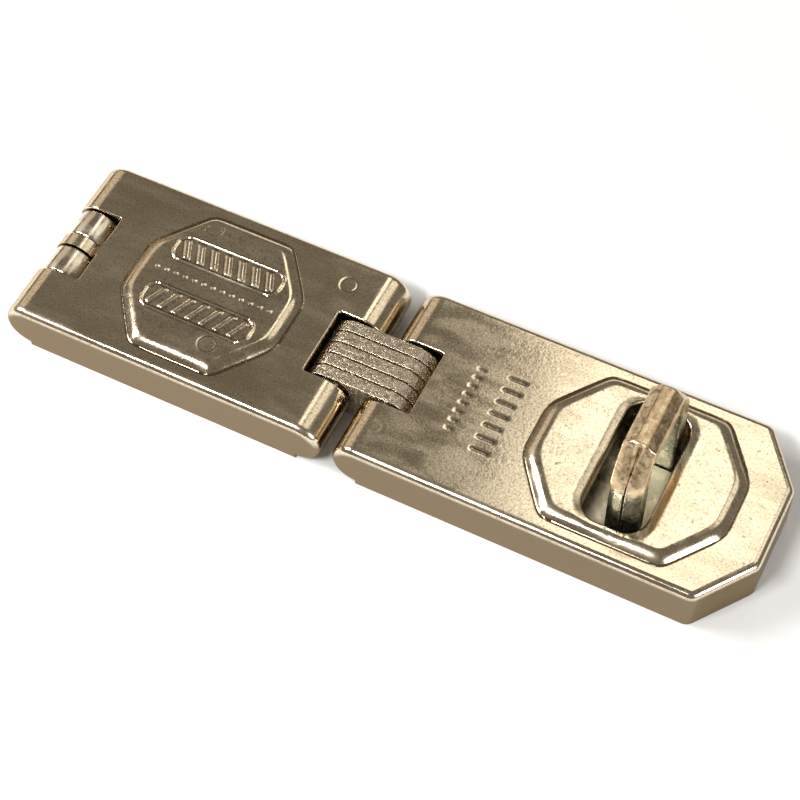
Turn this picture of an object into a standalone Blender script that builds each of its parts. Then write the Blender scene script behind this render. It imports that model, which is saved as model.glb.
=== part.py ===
"""Articulated hasp and staple: two pressed leaves joined by a laminated link, closed over a staple.

Units are metres and +Z is up. +X runs from the hinge end to the rounded-off tip, +Y across the
leaves, and everything stands on z = 0 round the middle of the whole length. Each object is one physical piece in its own node.
"""
import math

import bmesh
import bpy
from mathutils import Matrix, Vector

# Overall sizes
LEAF_WIDTH = 0.041
LEAF_DEPTH = 0.0105
FIRST_LENGTH = 0.0705
SECOND_LENGTH = 0.0820
LEAF_GAP = 0.0025

# Sheet metal
SHEET = 0.0022
EDGE_RADIUS = 0.0015
FIT = 0.0003
BEND_STEPS = 4
ROLL_STEPS = 20
BORE_STEPS = 32

# Tip of the second leaf
TIP_CUT_X = 0.0085
TIP_CUT_Y = 0.0115
TIP_CORNER_RADIUS = 0.0022

# Raised octagons: distances from the leaf's ends and sides to the foot of the slope
EMBOSS_HEIGHT = 0.0015
EMBOSS_SLOPE = 0.0014
EMBOSS_SIDE_MARGIN = 0.0033
EMBOSS_CORNER_RADIUS = 0.0012
FIRST_EMBOSS_START = 0.0189
FIRST_EMBOSS_END = 0.0168
SECOND_EMBOSS_START = 0.0334
SECOND_EMBOSS_END = 0.0078
EMBOSS_CUT_X = 0.0084
EMBOSS_CUT_Y = 0.0111

# Hinge end
PIN_DIAMETER = 0.0053
BARREL_INSET = 0.00045
KNUCKLE_ZONE = 0.0170
MIDDLE_KNUCKLE = 0.0028
KNUCKLE_CUT = 0.0051

# Plates under the leaves
PLATE_THICKNESS = 0.0023
PLATE_ROLL_GAP = 0.0009
HINGE_PLATE_END_MARGIN = 0.0155
SCREW_BORE = 0.0055
SCREW_HEAD = 0.0100
SCREW_HEAD_DEPTH = 0.0018
HINGE_HOLE_END_MARGIN = 0.0085
PLATE_HOLE_SIDE_MARGIN = 0.0075
STAPLE_PLATE_START_MARGIN = 0.0190
STAPLE_PLATE_TIP_MARGIN = 0.0028
STAPLE_HOLE_END_MARGIN = 0.0080
STAPLE_TIP_HOLE_SPREAD = 0.0075

# Link
LINK_PLATES = 5
LINK_PLATE_THICKNESS = 0.00256
LINK_DROP = 0.00025
LINK_SIDE_PLAY = 0.00065
LINK_SLOT_GAP = 0.00054
LINK_CHAMFER = 0.0004

# Pieces welded inside the leaves
BACKING_THICKNESS = 0.0015
SECOND_BACKING_OVERHANG = 0.0007
ROLL_STOP_WIDTH = 0.0030
ROLL_STOP_HEIGHT = 0.0045

# Staple and the slot it stands in
SLOT_WIDTH = 0.0112
SLOT_LENGTH = 0.0264
SLOT_CORNER_RADIUS = 0.0034
SLOT_RIM_RADIUS = 0.0009
COLLAR_WALL = 0.0012
COLLAR_HEIGHT = 0.0042
STAPLE_BAR_WIDTH = 0.0064
STAPLE_BAR_THICKNESS = 0.0048
STAPLE_SIDE_PLAY = 0.0010
STAPLE_OFFSET = 0.0018
STAPLE_EYE_HEIGHT = 0.0138
STAPLE_SHOULDER_RADIUS = 0.0060
STAPLE_CHAMFER = 0.0012
STAPLE_SEAM_WIDTH = 0.0004
STAPLE_SEAM_DEPTH = 0.0010

# Places that follow from the sizes
ROLL_RADIUS = LEAF_DEPTH / 2
FIRST_START = -(FIRST_LENGTH + LEAF_GAP + SECOND_LENGTH) / 2
FIRST_END = FIRST_START + FIRST_LENGTH
SECOND_START = FIRST_END + LEAF_GAP
TIP_X = SECOND_START + SECOND_LENGTH
HINGE_X = FIRST_START + ROLL_RADIUS
LINK_A_X = FIRST_END - ROLL_RADIUS
LINK_B_X = SECOND_START + ROLL_RADIUS
HALF_WIDTH = LEAF_WIDTH / 2
INNER_HALF_WIDTH = HALF_WIDTH - SHEET
CEILING = LEAF_DEPTH - SHEET
BORE_RADIUS = PIN_DIAMETER / 2 + FIT
BARREL_RADIUS = ROLL_RADIUS - BARREL_INSET
LINK_PITCH = LINK_PLATE_THICKNESS + FIT
LINK_WIDTH = LINK_PLATES * LINK_PITCH - FIT
LINK_SLOT_HALF = LINK_WIDTH / 2 + LINK_SIDE_PLAY
LINK_RADIUS = ROLL_RADIUS - LINK_DROP
LINK_SLOT_REACH = math.sqrt(LINK_RADIUS ** 2 - (CEILING - ROLL_RADIUS) ** 2) + LINK_SLOT_GAP
EMBOSS_TOP = LEAF_DEPTH + EMBOSS_HEIGHT
SLOT_X = (SECOND_START + SECOND_EMBOSS_START + TIP_X - SECOND_EMBOSS_END) / 2
STAPLE_X = SLOT_X + min(STAPLE_OFFSET, (SLOT_WIDTH - STAPLE_BAR_WIDTH) / 2 - FIT)
STAPLE_HALF_SPAN = SLOT_LENGTH / 2 - STAPLE_SIDE_PLAY
STAPLE_TOP = EMBOSS_TOP + STAPLE_EYE_HEIGHT + STAPLE_BAR_THICKNESS
PLATE_HALF_WIDTH = INNER_HALF_WIDTH - FIT
OVERCUT = 0.001

# Plain colours for each finish: base colour, metallic value and roughness
FINISHES = {
    "leaf_steel": ((0.62, 0.58, 0.50, 1.0), 1.0, 0.30),
    "link_steel": ((0.60, 0.60, 0.57, 1.0), 1.0, 0.35),
    "pin_steel": ((0.66, 0.66, 0.65, 1.0), 1.0, 0.25),
    "plate_steel": ((0.58, 0.59, 0.56, 1.0), 1.0, 0.38),
    "staple_steel": ((0.50, 0.42, 0.30, 1.0), 1.0, 0.36),
}


def clear_scene():
    """Remove everything that the startup file put in the scene."""
    for obj in list(bpy.data.objects):
        bpy.data.objects.remove(obj, do_unlink=True)


def make_materials():
    """Make one Principled material for each finish and return them by name."""
    made = {}
    for name, (colour, metallic, roughness) in FINISHES.items():
        material = bpy.data.materials.new(name)
        material.use_nodes = True
        shader = material.node_tree.nodes["Principled BSDF"]
        shader.inputs["Base Color"].default_value = colour
        shader.inputs["Metallic"].default_value = metallic
        shader.inputs["Roughness"].default_value = roughness
        material.diffuse_color = colour
        made[name] = material
    return made


def make_object(name, bm):
    """Turn a bmesh into an object with outward normals."""
    bmesh.ops.recalc_face_normals(bm, faces=bm.faces)
    mesh = bpy.data.meshes.new(name)
    bm.to_mesh(mesh)
    bm.free()
    obj = bpy.data.objects.new(name, mesh)
    bpy.context.collection.objects.link(obj)
    return obj


def arc(centre, radius, start_deg, end_deg, steps):
    """Points along an arc, both ends included."""
    points = []
    for i in range(steps + 1):
        angle = math.radians(start_deg + (end_deg - start_deg) * i / steps)
        points.append((centre[0] + radius * math.cos(angle), centre[1] + radius * math.sin(angle)))
    return points


def side_prism(outline, y_low, y_high):
    """Extrude an outline of (x, z) points across the leaf, from y_low to y_high."""
    bm = bmesh.new()
    face = bm.faces.new([bm.verts.new((x, y_low, z)) for x, z in outline])
    extruded = bmesh.ops.extrude_face_region(bm, geom=[face])
    moved = [item for item in extruded["geom"] if isinstance(item, bmesh.types.BMVert)]
    bmesh.ops.translate(bm, verts=moved, vec=(0, y_high - y_low, 0))
    bmesh.ops.recalc_face_normals(bm, faces=bm.faces)
    return bm


def plan_loft(levels):
    """Join plan outlines of equal point counts, given as (points, z), into one closed body."""
    bm = bmesh.new()
    rings = []
    for points, z in levels:
        rings.append([bm.verts.new((x, y, z)) for x, y in points])
    for lower, upper in zip(rings, rings[1:]):
        count = len(lower)
        for i in range(count):
            j = (i + 1) % count
            bm.faces.new((lower[i], lower[j], upper[j], upper[i]))
    bm.faces.new(list(reversed(rings[0])))
    bm.faces.new(rings[-1])
    return bm


def box_mesh(x_low, x_high, y_low, y_high, z_low, z_high):
    """A plain block."""
    corners = [(x_low, y_low), (x_high, y_low), (x_high, y_high), (x_low, y_high)]
    return plan_loft([(corners, z_low), (corners, z_high)])


def cross_cylinder(x, z, radius, y_low, y_high):
    """A cylinder whose axis runs across the leaf."""
    return side_prism(arc((x, z), radius, 0, 360 - 360 / BORE_STEPS, BORE_STEPS - 1), y_low, y_high)


def inset_outline(points, distance):
    """Move every edge of a convex anticlockwise outline inwards by the same distance."""
    count = len(points)
    moved = []
    for i in range(count):
        before = Vector(points[i - 1])
        here = Vector(points[i])
        after = Vector(points[(i + 1) % count])
        edge_in = (here - before).normalized()
        edge_out = (after - here).normalized()
        normal_in = Vector((-edge_in.y, edge_in.x))
        normal_out = Vector((-edge_out.y, edge_out.x))
        bisector = (normal_in + normal_out).normalized()
        reach = distance / bisector.dot(normal_in)
        corner = here + bisector * reach
        moved.append((corner.x, corner.y))
    return moved


def rounded_outline(points, radius, steps=BEND_STEPS):
    """Round the corners of a convex anticlockwise outline."""
    count = len(points)
    rounded = []
    for i in range(count):
        before = Vector(points[i - 1])
        here = Vector(points[i])
        after = Vector(points[(i + 1) % count])
        edge_in = (here - before).normalized()
        edge_out = (after - here).normalized()
        turn = edge_in.angle(edge_out)
        centre = inset_outline([tuple(before), tuple(here), tuple(after)], radius)[1]
        start = math.degrees(math.atan2(-edge_in.x, edge_in.y))
        rounded.extend(arc(centre, radius, start, start + math.degrees(turn), steps))
    return rounded


def octagon(x_low, x_high, half_width, cut_x, cut_y):
    """A rectangle with its four corners cut off, anticlockwise from its near left."""
    return [
        (x_low + cut_x, -half_width),
        (x_high - cut_x, -half_width),
        (x_high, -half_width + cut_y),
        (x_high, half_width - cut_y),
        (x_high - cut_x, half_width),
        (x_low + cut_x, half_width),
        (x_low, half_width - cut_y),
        (x_low, -half_width + cut_y),
    ]


def rectangle(x_low, x_high, half_width):
    """A rectangle, anticlockwise from its near left."""
    return [(x_low, -half_width), (x_high, -half_width), (x_high, half_width), (x_low, half_width)]


def replace_mesh(obj):
    """Bake an object's modifiers into its mesh."""
    graph = bpy.context.evaluated_depsgraph_get()
    baked = bpy.data.meshes.new_from_object(obj.evaluated_get(graph))
    obj.modifiers.clear()
    obj.data = baked


def combine(obj, tool_bm, operation):
    """Union a body with another one, or cut the other one out of it, and drop the tool."""
    tool = make_object("tool", tool_bm)
    modifier = obj.modifiers.new("combine", "BOOLEAN")
    modifier.operation = operation
    modifier.solver = "EXACT"
    modifier.object = tool
    bpy.context.view_layer.update()
    replace_mesh(obj)
    bpy.data.objects.remove(tool, do_unlink=True)


def cut(obj, tool_bm):
    """Cut a body out of an object."""
    combine(obj, tool_bm, "DIFFERENCE")


def join(obj, tool_bm):
    """Union a body with an object."""
    combine(obj, tool_bm, "UNION")


def bevel_outline(bm, radius, tip_too):
    """Round the edges between the upright side walls and the rest, except along the bottom."""
    bm.normal_update()

    def is_wall(face):
        upright = abs(face.normal.z) < 0.1
        return upright and (abs(face.normal.y) > 0.2 or (tip_too and face.normal.x > 0.5))

    chosen = []
    for edge in bm.edges:
        walls = [is_wall(face) for face in edge.link_faces]
        above_floor = max(vert.co.z for vert in edge.verts) > OVERCUT / 100
        if walls.count(True) == 1 and above_floor:
            chosen.append(edge)
    bmesh.ops.bevel(bm, geom=chosen, offset=radius, segments=BEND_STEPS, profile=0.5, affect="EDGES")


def cut_tip(bm, tip_x, half_width, cut_x, cut_y, inset):
    """Slice the two corners off a leaf's tip and close the openings."""
    for side in (-1, 1):
        normal = Vector((cut_y, side * cut_x, 0)).normalized()
        corner = Vector((tip_x - cut_x, side * half_width, 0)) - normal * inset
        geometry = bm.verts[:] + bm.edges[:] + bm.faces[:]
        bmesh.ops.bisect_plane(bm, geom=geometry, plane_co=corner, plane_no=normal, clear_outer=True)
        rim = [edge for edge in bm.edges if edge.is_boundary]
        bmesh.ops.holes_fill(bm, edges=rim)


def round_tip_corners(bm, radius):
    """Round the upright edges round a leaf's tip."""
    upright = []
    for edge in bm.edges:
        low, high = sorted((vert.co for vert in edge.verts), key=lambda co: co.z)
        if (high - low).xy.length < OVERCUT / 100 and low.x > TIP_X - TIP_CUT_X * 1.01:
            upright.append(edge)
    bmesh.ops.bevel(bm, geom=upright, offset=radius, segments=BEND_STEPS, profile=0.5, affect="EDGES")


def cavity_profile(left_roll_x, right_x, right_is_roll):
    """Outline of the hollow between a leaf's rolls, in side view, open at the bottom."""
    meet = math.degrees(math.asin((CEILING - ROLL_RADIUS) / ROLL_RADIUS))
    points = arc((left_roll_x, ROLL_RADIUS), ROLL_RADIUS, -80, meet, ROLL_STEPS // 2)
    points.insert(0, (points[0][0], -OVERCUT))
    if right_is_roll:
        points += arc((right_x, ROLL_RADIUS), ROLL_RADIUS, 180 - meet, 260, ROLL_STEPS // 2)
        points.append((points[-1][0], -OVERCUT))
    else:
        points += [(right_x, CEILING), (right_x, -OVERCUT)]
    return points


def emboss_levels(outline, foot_inset, z_foot):
    """Three levels of a raised octagon: a root inside the sheet, the foot and the top."""
    levels = []
    for inset, z in ((foot_inset, z_foot - SHEET / 2), (foot_inset, z_foot),
                     (foot_inset + EMBOSS_SLOPE, z_foot + EMBOSS_HEIGHT)):
        levels.append((rounded_outline(inset_outline(outline, inset), EMBOSS_CORNER_RADIUS), z))
    return levels


def add_emboss(leaf, outline):
    """Raise an octagon on a leaf and hollow it from below at the sheet's thickness."""
    join(leaf, plan_loft(emboss_levels(outline, 0.0, LEAF_DEPTH)))
    cut(leaf, plan_loft(emboss_levels(outline, SHEET * 0.6, CEILING)))


def cut_pin_bore(leaf, pin_x):
    """Bore a roll between the side walls, which hide the pin's ends."""
    cut(leaf, cross_cylinder(pin_x, ROLL_RADIUS, BORE_RADIUS, -INNER_HALF_WIDTH, INNER_HALF_WIDTH))


def cut_link_slot(leaf, pin_x, side):
    """Open a roll for the link: through the top as far as the slot's end, below it past the roll."""
    for reach, z_high in ((LINK_SLOT_REACH, LEAF_DEPTH + OVERCUT), (ROLL_RADIUS + FIT, CEILING)):
        x_low, x_high = sorted((pin_x + side * reach, pin_x - side * (ROLL_RADIUS + OVERCUT)))
        cut(leaf, box_mesh(x_low, x_high, -LINK_SLOT_HALF, LINK_SLOT_HALF, -OVERCUT, z_high))


def first_emboss_outline():
    """Foot of the first leaf's octagon."""
    return octagon(FIRST_START + FIRST_EMBOSS_START, FIRST_END - FIRST_EMBOSS_END,
                   HALF_WIDTH - EMBOSS_SIDE_MARGIN, EMBOSS_CUT_X, EMBOSS_CUT_Y)


def second_emboss_outline():
    """Foot of the second leaf's octagon."""
    return octagon(SECOND_START + SECOND_EMBOSS_START, TIP_X - SECOND_EMBOSS_END,
                   HALF_WIDTH - EMBOSS_SIDE_MARGIN, EMBOSS_CUT_X, EMBOSS_CUT_Y)


def slot_outline(margin):
    """Outline of the staple slot, grown by a margin."""
    outline = rectangle(SLOT_X - SLOT_WIDTH / 2 - margin, SLOT_X + SLOT_WIDTH / 2 + margin,
                        SLOT_LENGTH / 2 + margin)
    return rounded_outline(outline, SLOT_CORNER_RADIUS + margin, 2 * BEND_STEPS)


def make_first_leaf():
    """Pressed leaf with a roll at each end: knuckles for the hinge, a slot for the link."""
    outline = arc((LINK_A_X, ROLL_RADIUS), ROLL_RADIUS, -90, 90, ROLL_STEPS)
    outline += arc((HINGE_X, ROLL_RADIUS), ROLL_RADIUS, 90, 270, ROLL_STEPS)
    bm = side_prism(outline, -HALF_WIDTH, HALF_WIDTH)
    bevel_outline(bm, EDGE_RADIUS, tip_too=False)
    leaf = make_object("first_leaf", bm)
    hollow = cavity_profile(HINGE_X, LINK_A_X, right_is_roll=True)
    cut(leaf, side_prism(hollow, -INNER_HALF_WIDTH, INNER_HALF_WIDTH))
    add_emboss(leaf, first_emboss_outline())
    for side in (-1, 1):
        y_pair = sorted((side * MIDDLE_KNUCKLE / 2, side * KNUCKLE_ZONE / 2))
        cut(leaf, box_mesh(FIRST_START - OVERCUT, HINGE_X + KNUCKLE_CUT, y_pair[0], y_pair[1],
                           -OVERCUT, LEAF_DEPTH + OVERCUT))
    cut_link_slot(leaf, LINK_A_X, -1)
    cut_pin_bore(leaf, HINGE_X)
    cut_pin_bore(leaf, LINK_A_X)
    return leaf


def make_second_leaf():
    """Pressed leaf with one roll, a chamfered tip and a collared slot in its octagon."""
    outline = arc((LINK_B_X, ROLL_RADIUS), ROLL_RADIUS, 90, 270, ROLL_STEPS)
    outline += [(TIP_X, 0.0), (TIP_X, LEAF_DEPTH)]
    bm = side_prism(outline, -HALF_WIDTH, HALF_WIDTH)
    cut_tip(bm, TIP_X, HALF_WIDTH, TIP_CUT_X, TIP_CUT_Y, 0.0)
    round_tip_corners(bm, TIP_CORNER_RADIUS)
    bevel_outline(bm, EDGE_RADIUS, tip_too=True)
    leaf = make_object("second_leaf", bm)
    hollow = side_prism(cavity_profile(LINK_B_X, TIP_X - SHEET, right_is_roll=False),
                        -INNER_HALF_WIDTH, INNER_HALF_WIDTH)
    cut_tip(hollow, TIP_X, HALF_WIDTH, TIP_CUT_X, TIP_CUT_Y, SHEET)
    cut(leaf, hollow)
    add_emboss(leaf, second_emboss_outline())
    join(leaf, plan_loft([(slot_outline(COLLAR_WALL), EMBOSS_TOP - COLLAR_HEIGHT),
                          (slot_outline(COLLAR_WALL), EMBOSS_TOP - SHEET / 2)]))
    throat = [(slot_outline(0.0), CEILING - ROLL_RADIUS), (slot_outline(0.0), EMBOSS_TOP - SLOT_RIM_RADIUS)]
    for i in range(1, BEND_STEPS + 1):
        angle = math.radians(90 * i / BEND_STEPS)
        flare = SLOT_RIM_RADIUS * (1 - math.cos(angle))
        throat.append((slot_outline(flare), EMBOSS_TOP - SLOT_RIM_RADIUS * (1 - math.sin(angle))))
    throat.append((slot_outline(SLOT_RIM_RADIUS), EMBOSS_TOP + OVERCUT))
    cut(leaf, plan_loft(throat))
    cut_link_slot(leaf, LINK_B_X, 1)
    cut_pin_bore(leaf, LINK_B_X)
    return leaf


def cut_screw_hole(plate, x, y):
    """Drill and countersink one fixing hole from above."""
    circles = []
    for radius, z in ((SCREW_BORE / 2, -OVERCUT), (SCREW_BORE / 2, PLATE_THICKNESS - SCREW_HEAD_DEPTH),
                      (SCREW_HEAD / 2, PLATE_THICKNESS), (SCREW_HEAD / 2, PLATE_THICKNESS + OVERCUT)):
        circles.append((arc((x, y), radius, 0, 360 - 360 / BORE_STEPS, BORE_STEPS - 1), z))
    cut(plate, plan_loft(circles))


def make_hinge_plate():
    """Mounting plate whose end is rolled into two barrels between the leaf's knuckles."""
    start = HINGE_X + ROLL_RADIUS + PLATE_ROLL_GAP
    end = FIRST_END - HINGE_PLATE_END_MARGIN
    plate = make_object("hinge_plate", plan_loft([
        (rounded_outline(rectangle(start, end, PLATE_HALF_WIDTH), TIP_CORNER_RADIUS), 0.0),
        (rounded_outline(rectangle(start, end, PLATE_HALF_WIDTH), TIP_CORNER_RADIUS), PLATE_THICKNESS)]))
    for side in (-1, 1):
        inner = side * (MIDDLE_KNUCKLE / 2 + FIT)
        outer = side * (KNUCKLE_ZONE / 2 - FIT)
        y_low, y_high = sorted((inner, outer))
        join(plate, box_mesh(HINGE_X, start + TIP_CORNER_RADIUS, y_low, y_high,
                             ROLL_RADIUS - BARREL_RADIUS, PLATE_THICKNESS))
        join(plate, cross_cylinder(HINGE_X, ROLL_RADIUS, BARREL_RADIUS, y_low, y_high))
    cut(plate, cross_cylinder(HINGE_X, ROLL_RADIUS, BORE_RADIUS, -HALF_WIDTH, HALF_WIDTH))
    for x in (start + HINGE_HOLE_END_MARGIN, end - HINGE_HOLE_END_MARGIN):
        for side in (-1, 1):
            cut_screw_hole(plate, x, side * (PLATE_HALF_WIDTH - PLATE_HOLE_SIDE_MARGIN))
    return plate


def make_staple_plate():
    """Plate under the second leaf that the staple's legs stand in."""
    start = SECOND_START + STAPLE_PLATE_START_MARGIN
    end = TIP_X - SHEET - STAPLE_PLATE_TIP_MARGIN
    bm = box_mesh(start, end, -PLATE_HALF_WIDTH, PLATE_HALF_WIDTH, 0.0, PLATE_THICKNESS)
    cut_tip(bm, TIP_X, HALF_WIDTH, TIP_CUT_X, TIP_CUT_Y, SHEET + STAPLE_PLATE_TIP_MARGIN / 2)
    plate = make_object("staple_plate", bm)
    for side in (-1, 1):
        outer = STAPLE_HALF_SPAN + FIT
        inner = STAPLE_HALF_SPAN - STAPLE_BAR_THICKNESS - FIT
        y_low, y_high = sorted((side * inner, side * outer))
        half = STAPLE_BAR_WIDTH / 2 + FIT
        cut(plate, box_mesh(STAPLE_X - half, STAPLE_X + half, y_low, y_high,
                            -OVERCUT, PLATE_THICKNESS + OVERCUT))
        cut_screw_hole(plate, start + STAPLE_HOLE_END_MARGIN,
                       side * (PLATE_HALF_WIDTH - PLATE_HOLE_SIDE_MARGIN))
        cut_screw_hole(plate, end - STAPLE_HOLE_END_MARGIN, side * STAPLE_TIP_HOLE_SPREAD)
    return plate


def staple_section():
    """Bar section as (across, inwards) points: the outer side is chamfered and has the seam."""
    half = STAPLE_BAR_WIDTH / 2
    seam = STAPLE_SEAM_WIDTH / 2
    return [
        (-half, STAPLE_BAR_THICKNESS),
        (-half, STAPLE_CHAMFER),
        (-half + STAPLE_CHAMFER, 0.0),
        (-seam, 0.0),
        (0.0, STAPLE_SEAM_DEPTH),
        (seam, 0.0),
        (half - STAPLE_CHAMFER, 0.0),
        (half, STAPLE_CHAMFER),
        (half, STAPLE_BAR_THICKNESS),
    ]


def staple_path():
    """Stations along the staple's outside as (y, z, inward direction)."""
    radius = STAPLE_SHOULDER_RADIUS
    corner_y = STAPLE_HALF_SPAN - radius
    corner_z = STAPLE_TOP - radius
    stations = [(-STAPLE_HALF_SPAN, 0.0, 0.0)]
    for side, start, end in ((-1, 180, 90), (1, 90, 0)):
        for y, z in arc((side * corner_y, corner_z), radius, start, end, 2 * BEND_STEPS):
            angle = math.atan2(z - corner_z, y - side * corner_y)
            stations.append((y, z, math.pi - angle))
    stations.append((STAPLE_HALF_SPAN, 0.0, math.pi))
    return stations


def make_staple():
    """Square-shouldered staple swept from a folded strip, seam outwards."""
    bm = bmesh.new()
    rings = []
    for y, z, turn in staple_path():
        inward = Vector((0.0, math.cos(turn), -math.sin(turn)))
        ring = []
        for across, depth in staple_section():
            ring.append(bm.verts.new(Vector((STAPLE_X + across, y, z)) + inward * depth))
        rings.append(ring)
    for lower, upper in zip(rings, rings[1:]):
        count = len(lower)
        for i in range(count):
            j = (i + 1) % count
            bm.faces.new((lower[i], lower[j], upper[j], upper[i]))
    bm.faces.new(list(reversed(rings[0])))
    bm.faces.new(rings[-1])
    return make_object("staple", bm)


def make_pin(name, x):
    """Straight pin hidden between the side walls."""
    reach = INNER_HALF_WIDTH - FIT
    return make_object(name, cross_cylinder(x, ROLL_RADIUS, PIN_DIAMETER / 2, -reach, reach))


def make_link_plate(index):
    """One plate of the laminated link, round-ended, with a hole for each pin."""
    outline = arc((LINK_B_X, ROLL_RADIUS), LINK_RADIUS, -90, 90, ROLL_STEPS)
    outline += arc((LINK_A_X, ROLL_RADIUS), LINK_RADIUS, 90, 270, ROLL_STEPS)
    low = -LINK_WIDTH / 2 + index * LINK_PITCH
    bm = side_prism(outline, low, low + LINK_PLATE_THICKNESS)
    rims = [edge for edge in bm.edges if abs(edge.verts[0].co.y - edge.verts[1].co.y) < OVERCUT / 100]
    bmesh.ops.bevel(bm, geom=rims, offset=LINK_CHAMFER, segments=1, profile=0.5, affect="EDGES")
    plate = make_object("link_plate_" + str(index + 1), bm)
    for x in (LINK_A_X, LINK_B_X):
        cut(plate, cross_cylinder(x, ROLL_RADIUS, BORE_RADIUS, low - OVERCUT,
                                  low + LINK_PLATE_THICKNESS + OVERCUT))
    return plate


def make_first_backing():
    """Flat octagonal plate welded up inside the first leaf's octagon."""
    outline = inset_outline(first_emboss_outline(), SHEET * 0.6 + EMBOSS_SLOPE + FIT)
    outline = rounded_outline(outline, EMBOSS_CORNER_RADIUS)
    top = CEILING + EMBOSS_HEIGHT - FIT
    return make_object("first_backing", plan_loft([(outline, top - BACKING_THICKNESS), (outline, top)]))


def make_second_backing():
    """Ring plate welded under the sheet round the second leaf's slot."""
    outline = inset_outline(second_emboss_outline(), -SECOND_BACKING_OVERHANG)
    outline = rounded_outline(outline, EMBOSS_CORNER_RADIUS)
    top = CEILING - FIT
    backing = make_object("second_backing", plan_loft([(outline, top - BACKING_THICKNESS), (outline, top)]))
    hole = slot_outline(COLLAR_WALL + FIT)
    cut(backing, plan_loft([(hole, top - BACKING_THICKNESS - OVERCUT), (hole, top + OVERCUT)]))
    return backing


def make_roll_stop(name, pin_x, side):
    """Bar welded behind a roll so that it can't open."""
    near = pin_x + side * (ROLL_RADIUS + FIT)
    far = near + side * ROLL_STOP_WIDTH
    x_low, x_high = sorted((near, far))
    top = CEILING - FIT
    reach = INNER_HALF_WIDTH - FIT
    return make_object(name, box_mesh(x_low, x_high, -reach, reach, top - ROLL_STOP_HEIGHT, top))


def make_axis(name, location, parent):
    """Empty that carries a moving body, standing on its joint's axis."""
    empty = bpy.data.objects.new(name, None)
    bpy.context.collection.objects.link(empty)
    empty.parent = parent
    empty.location = Vector(location) - (parent.matrix_world.translation if parent else Vector())
    bpy.context.view_layer.update()
    return empty


def hang(obj, axis, material):
    """Move a piece's origin to its body's axis, parent it there and give it its finish."""
    origin = axis.matrix_world.translation
    obj.data.transform(Matrix.Translation(-origin))
    obj.parent = axis
    obj.data.materials.clear()
    obj.data.materials.append(material)
    obj.data.shade_smooth()
    obj.data.set_sharp_from_angle(angle=math.radians(30))


def build():
    """Build every piece and hang it on its body's axis."""
    clear_scene()
    materials = make_materials()
    fixed = make_axis("mounting", (HINGE_X, 0.0, ROLL_RADIUS), None)
    first = make_axis("hinge_axis", (HINGE_X, 0.0, ROLL_RADIUS), fixed)
    link = make_axis("link_axis_a", (LINK_A_X, 0.0, ROLL_RADIUS), first)
    second = make_axis("link_axis_b", (LINK_B_X, 0.0, ROLL_RADIUS), link)
    staple = make_axis("staple_guide", (STAPLE_X, 0.0, 0.0), second)
    hang(make_hinge_plate(), fixed, materials["plate_steel"])
    hang(make_pin("hinge_pin", HINGE_X), fixed, materials["pin_steel"])
    hang(make_first_leaf(), first, materials["leaf_steel"])
    hang(make_first_backing(), first, materials["plate_steel"])
    hang(make_roll_stop("roll_stop_a", LINK_A_X, -1), first, materials["plate_steel"])
    hang(make_pin("link_pin_a", LINK_A_X), first, materials["pin_steel"])
    for index in range(LINK_PLATES):
        hang(make_link_plate(index), link, materials["link_steel"])
    hang(make_second_leaf(), second, materials["leaf_steel"])
    hang(make_second_backing(), second, materials["plate_steel"])
    hang(make_roll_stop("roll_stop_b", LINK_B_X, 1), second, materials["plate_steel"])
    hang(make_pin("link_pin_b", LINK_B_X), second, materials["pin_steel"])
    hang(make_staple(), staple, materials["staple_steel"])
    hang(make_staple_plate(), staple, materials["plate_steel"])
    bpy.context.view_layer.update()


build()
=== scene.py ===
"""Looks of an articulated hasp closed over its staple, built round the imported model.

Lengths are metres. +X runs from the hinge end to the cut-off tip, +Y across the leaves and +Z up.
Detail on a leaf is placed in sheet coordinates: s is the distance along the developed sheet, equal to
x on the flat, and y is the distance across it.
"""
import logging
import math
from dataclasses import dataclass, field
from enum import Enum

import bmesh
import bpy
from mathutils import Euler, Matrix, Vector, noise


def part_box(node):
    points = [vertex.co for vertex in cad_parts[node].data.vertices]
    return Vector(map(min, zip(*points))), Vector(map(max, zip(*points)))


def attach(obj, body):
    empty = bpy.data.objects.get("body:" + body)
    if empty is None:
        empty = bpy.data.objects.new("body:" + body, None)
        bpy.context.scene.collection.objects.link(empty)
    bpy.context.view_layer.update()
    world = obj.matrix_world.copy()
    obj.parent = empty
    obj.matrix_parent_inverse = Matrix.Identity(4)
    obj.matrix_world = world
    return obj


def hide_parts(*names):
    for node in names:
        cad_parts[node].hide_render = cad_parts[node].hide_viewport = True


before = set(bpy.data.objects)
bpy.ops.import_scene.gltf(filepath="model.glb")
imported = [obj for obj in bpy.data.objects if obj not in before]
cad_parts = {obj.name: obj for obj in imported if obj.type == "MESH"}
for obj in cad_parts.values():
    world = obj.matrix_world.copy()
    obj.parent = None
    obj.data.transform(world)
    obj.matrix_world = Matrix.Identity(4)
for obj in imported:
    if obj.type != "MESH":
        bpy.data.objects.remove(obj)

MM = 0.001
LOG = logging.getLogger("hasp")
Point = tuple[float, float]


class Body(Enum):
    """The moving bodies that pieces ride on."""

    MOUNTING = "mounting"
    FIRST = "first_leaf_assembly"
    LINK = "link"
    SECOND = "second_leaf_assembly"
    STAPLE = "staple_assembly"


class Solver(Enum):
    """How two solids are combined."""

    CUT = "DIFFERENCE"
    JOIN = "UNION"


# ---------------------------------------------------------------------------------------------
# Small geometry helpers
# ---------------------------------------------------------------------------------------------


def clamp(value: float, low: float = 0.0, high: float = 1.0) -> float:
    """Return value kept between low and high."""
    return max(low, min(high, value))


def smooth(value: float) -> float:
    """Return a smooth step from 0 to 1 as value goes from 0 to 1."""
    t = clamp(value)
    return t * t * (3.0 - 2.0 * t)


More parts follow.
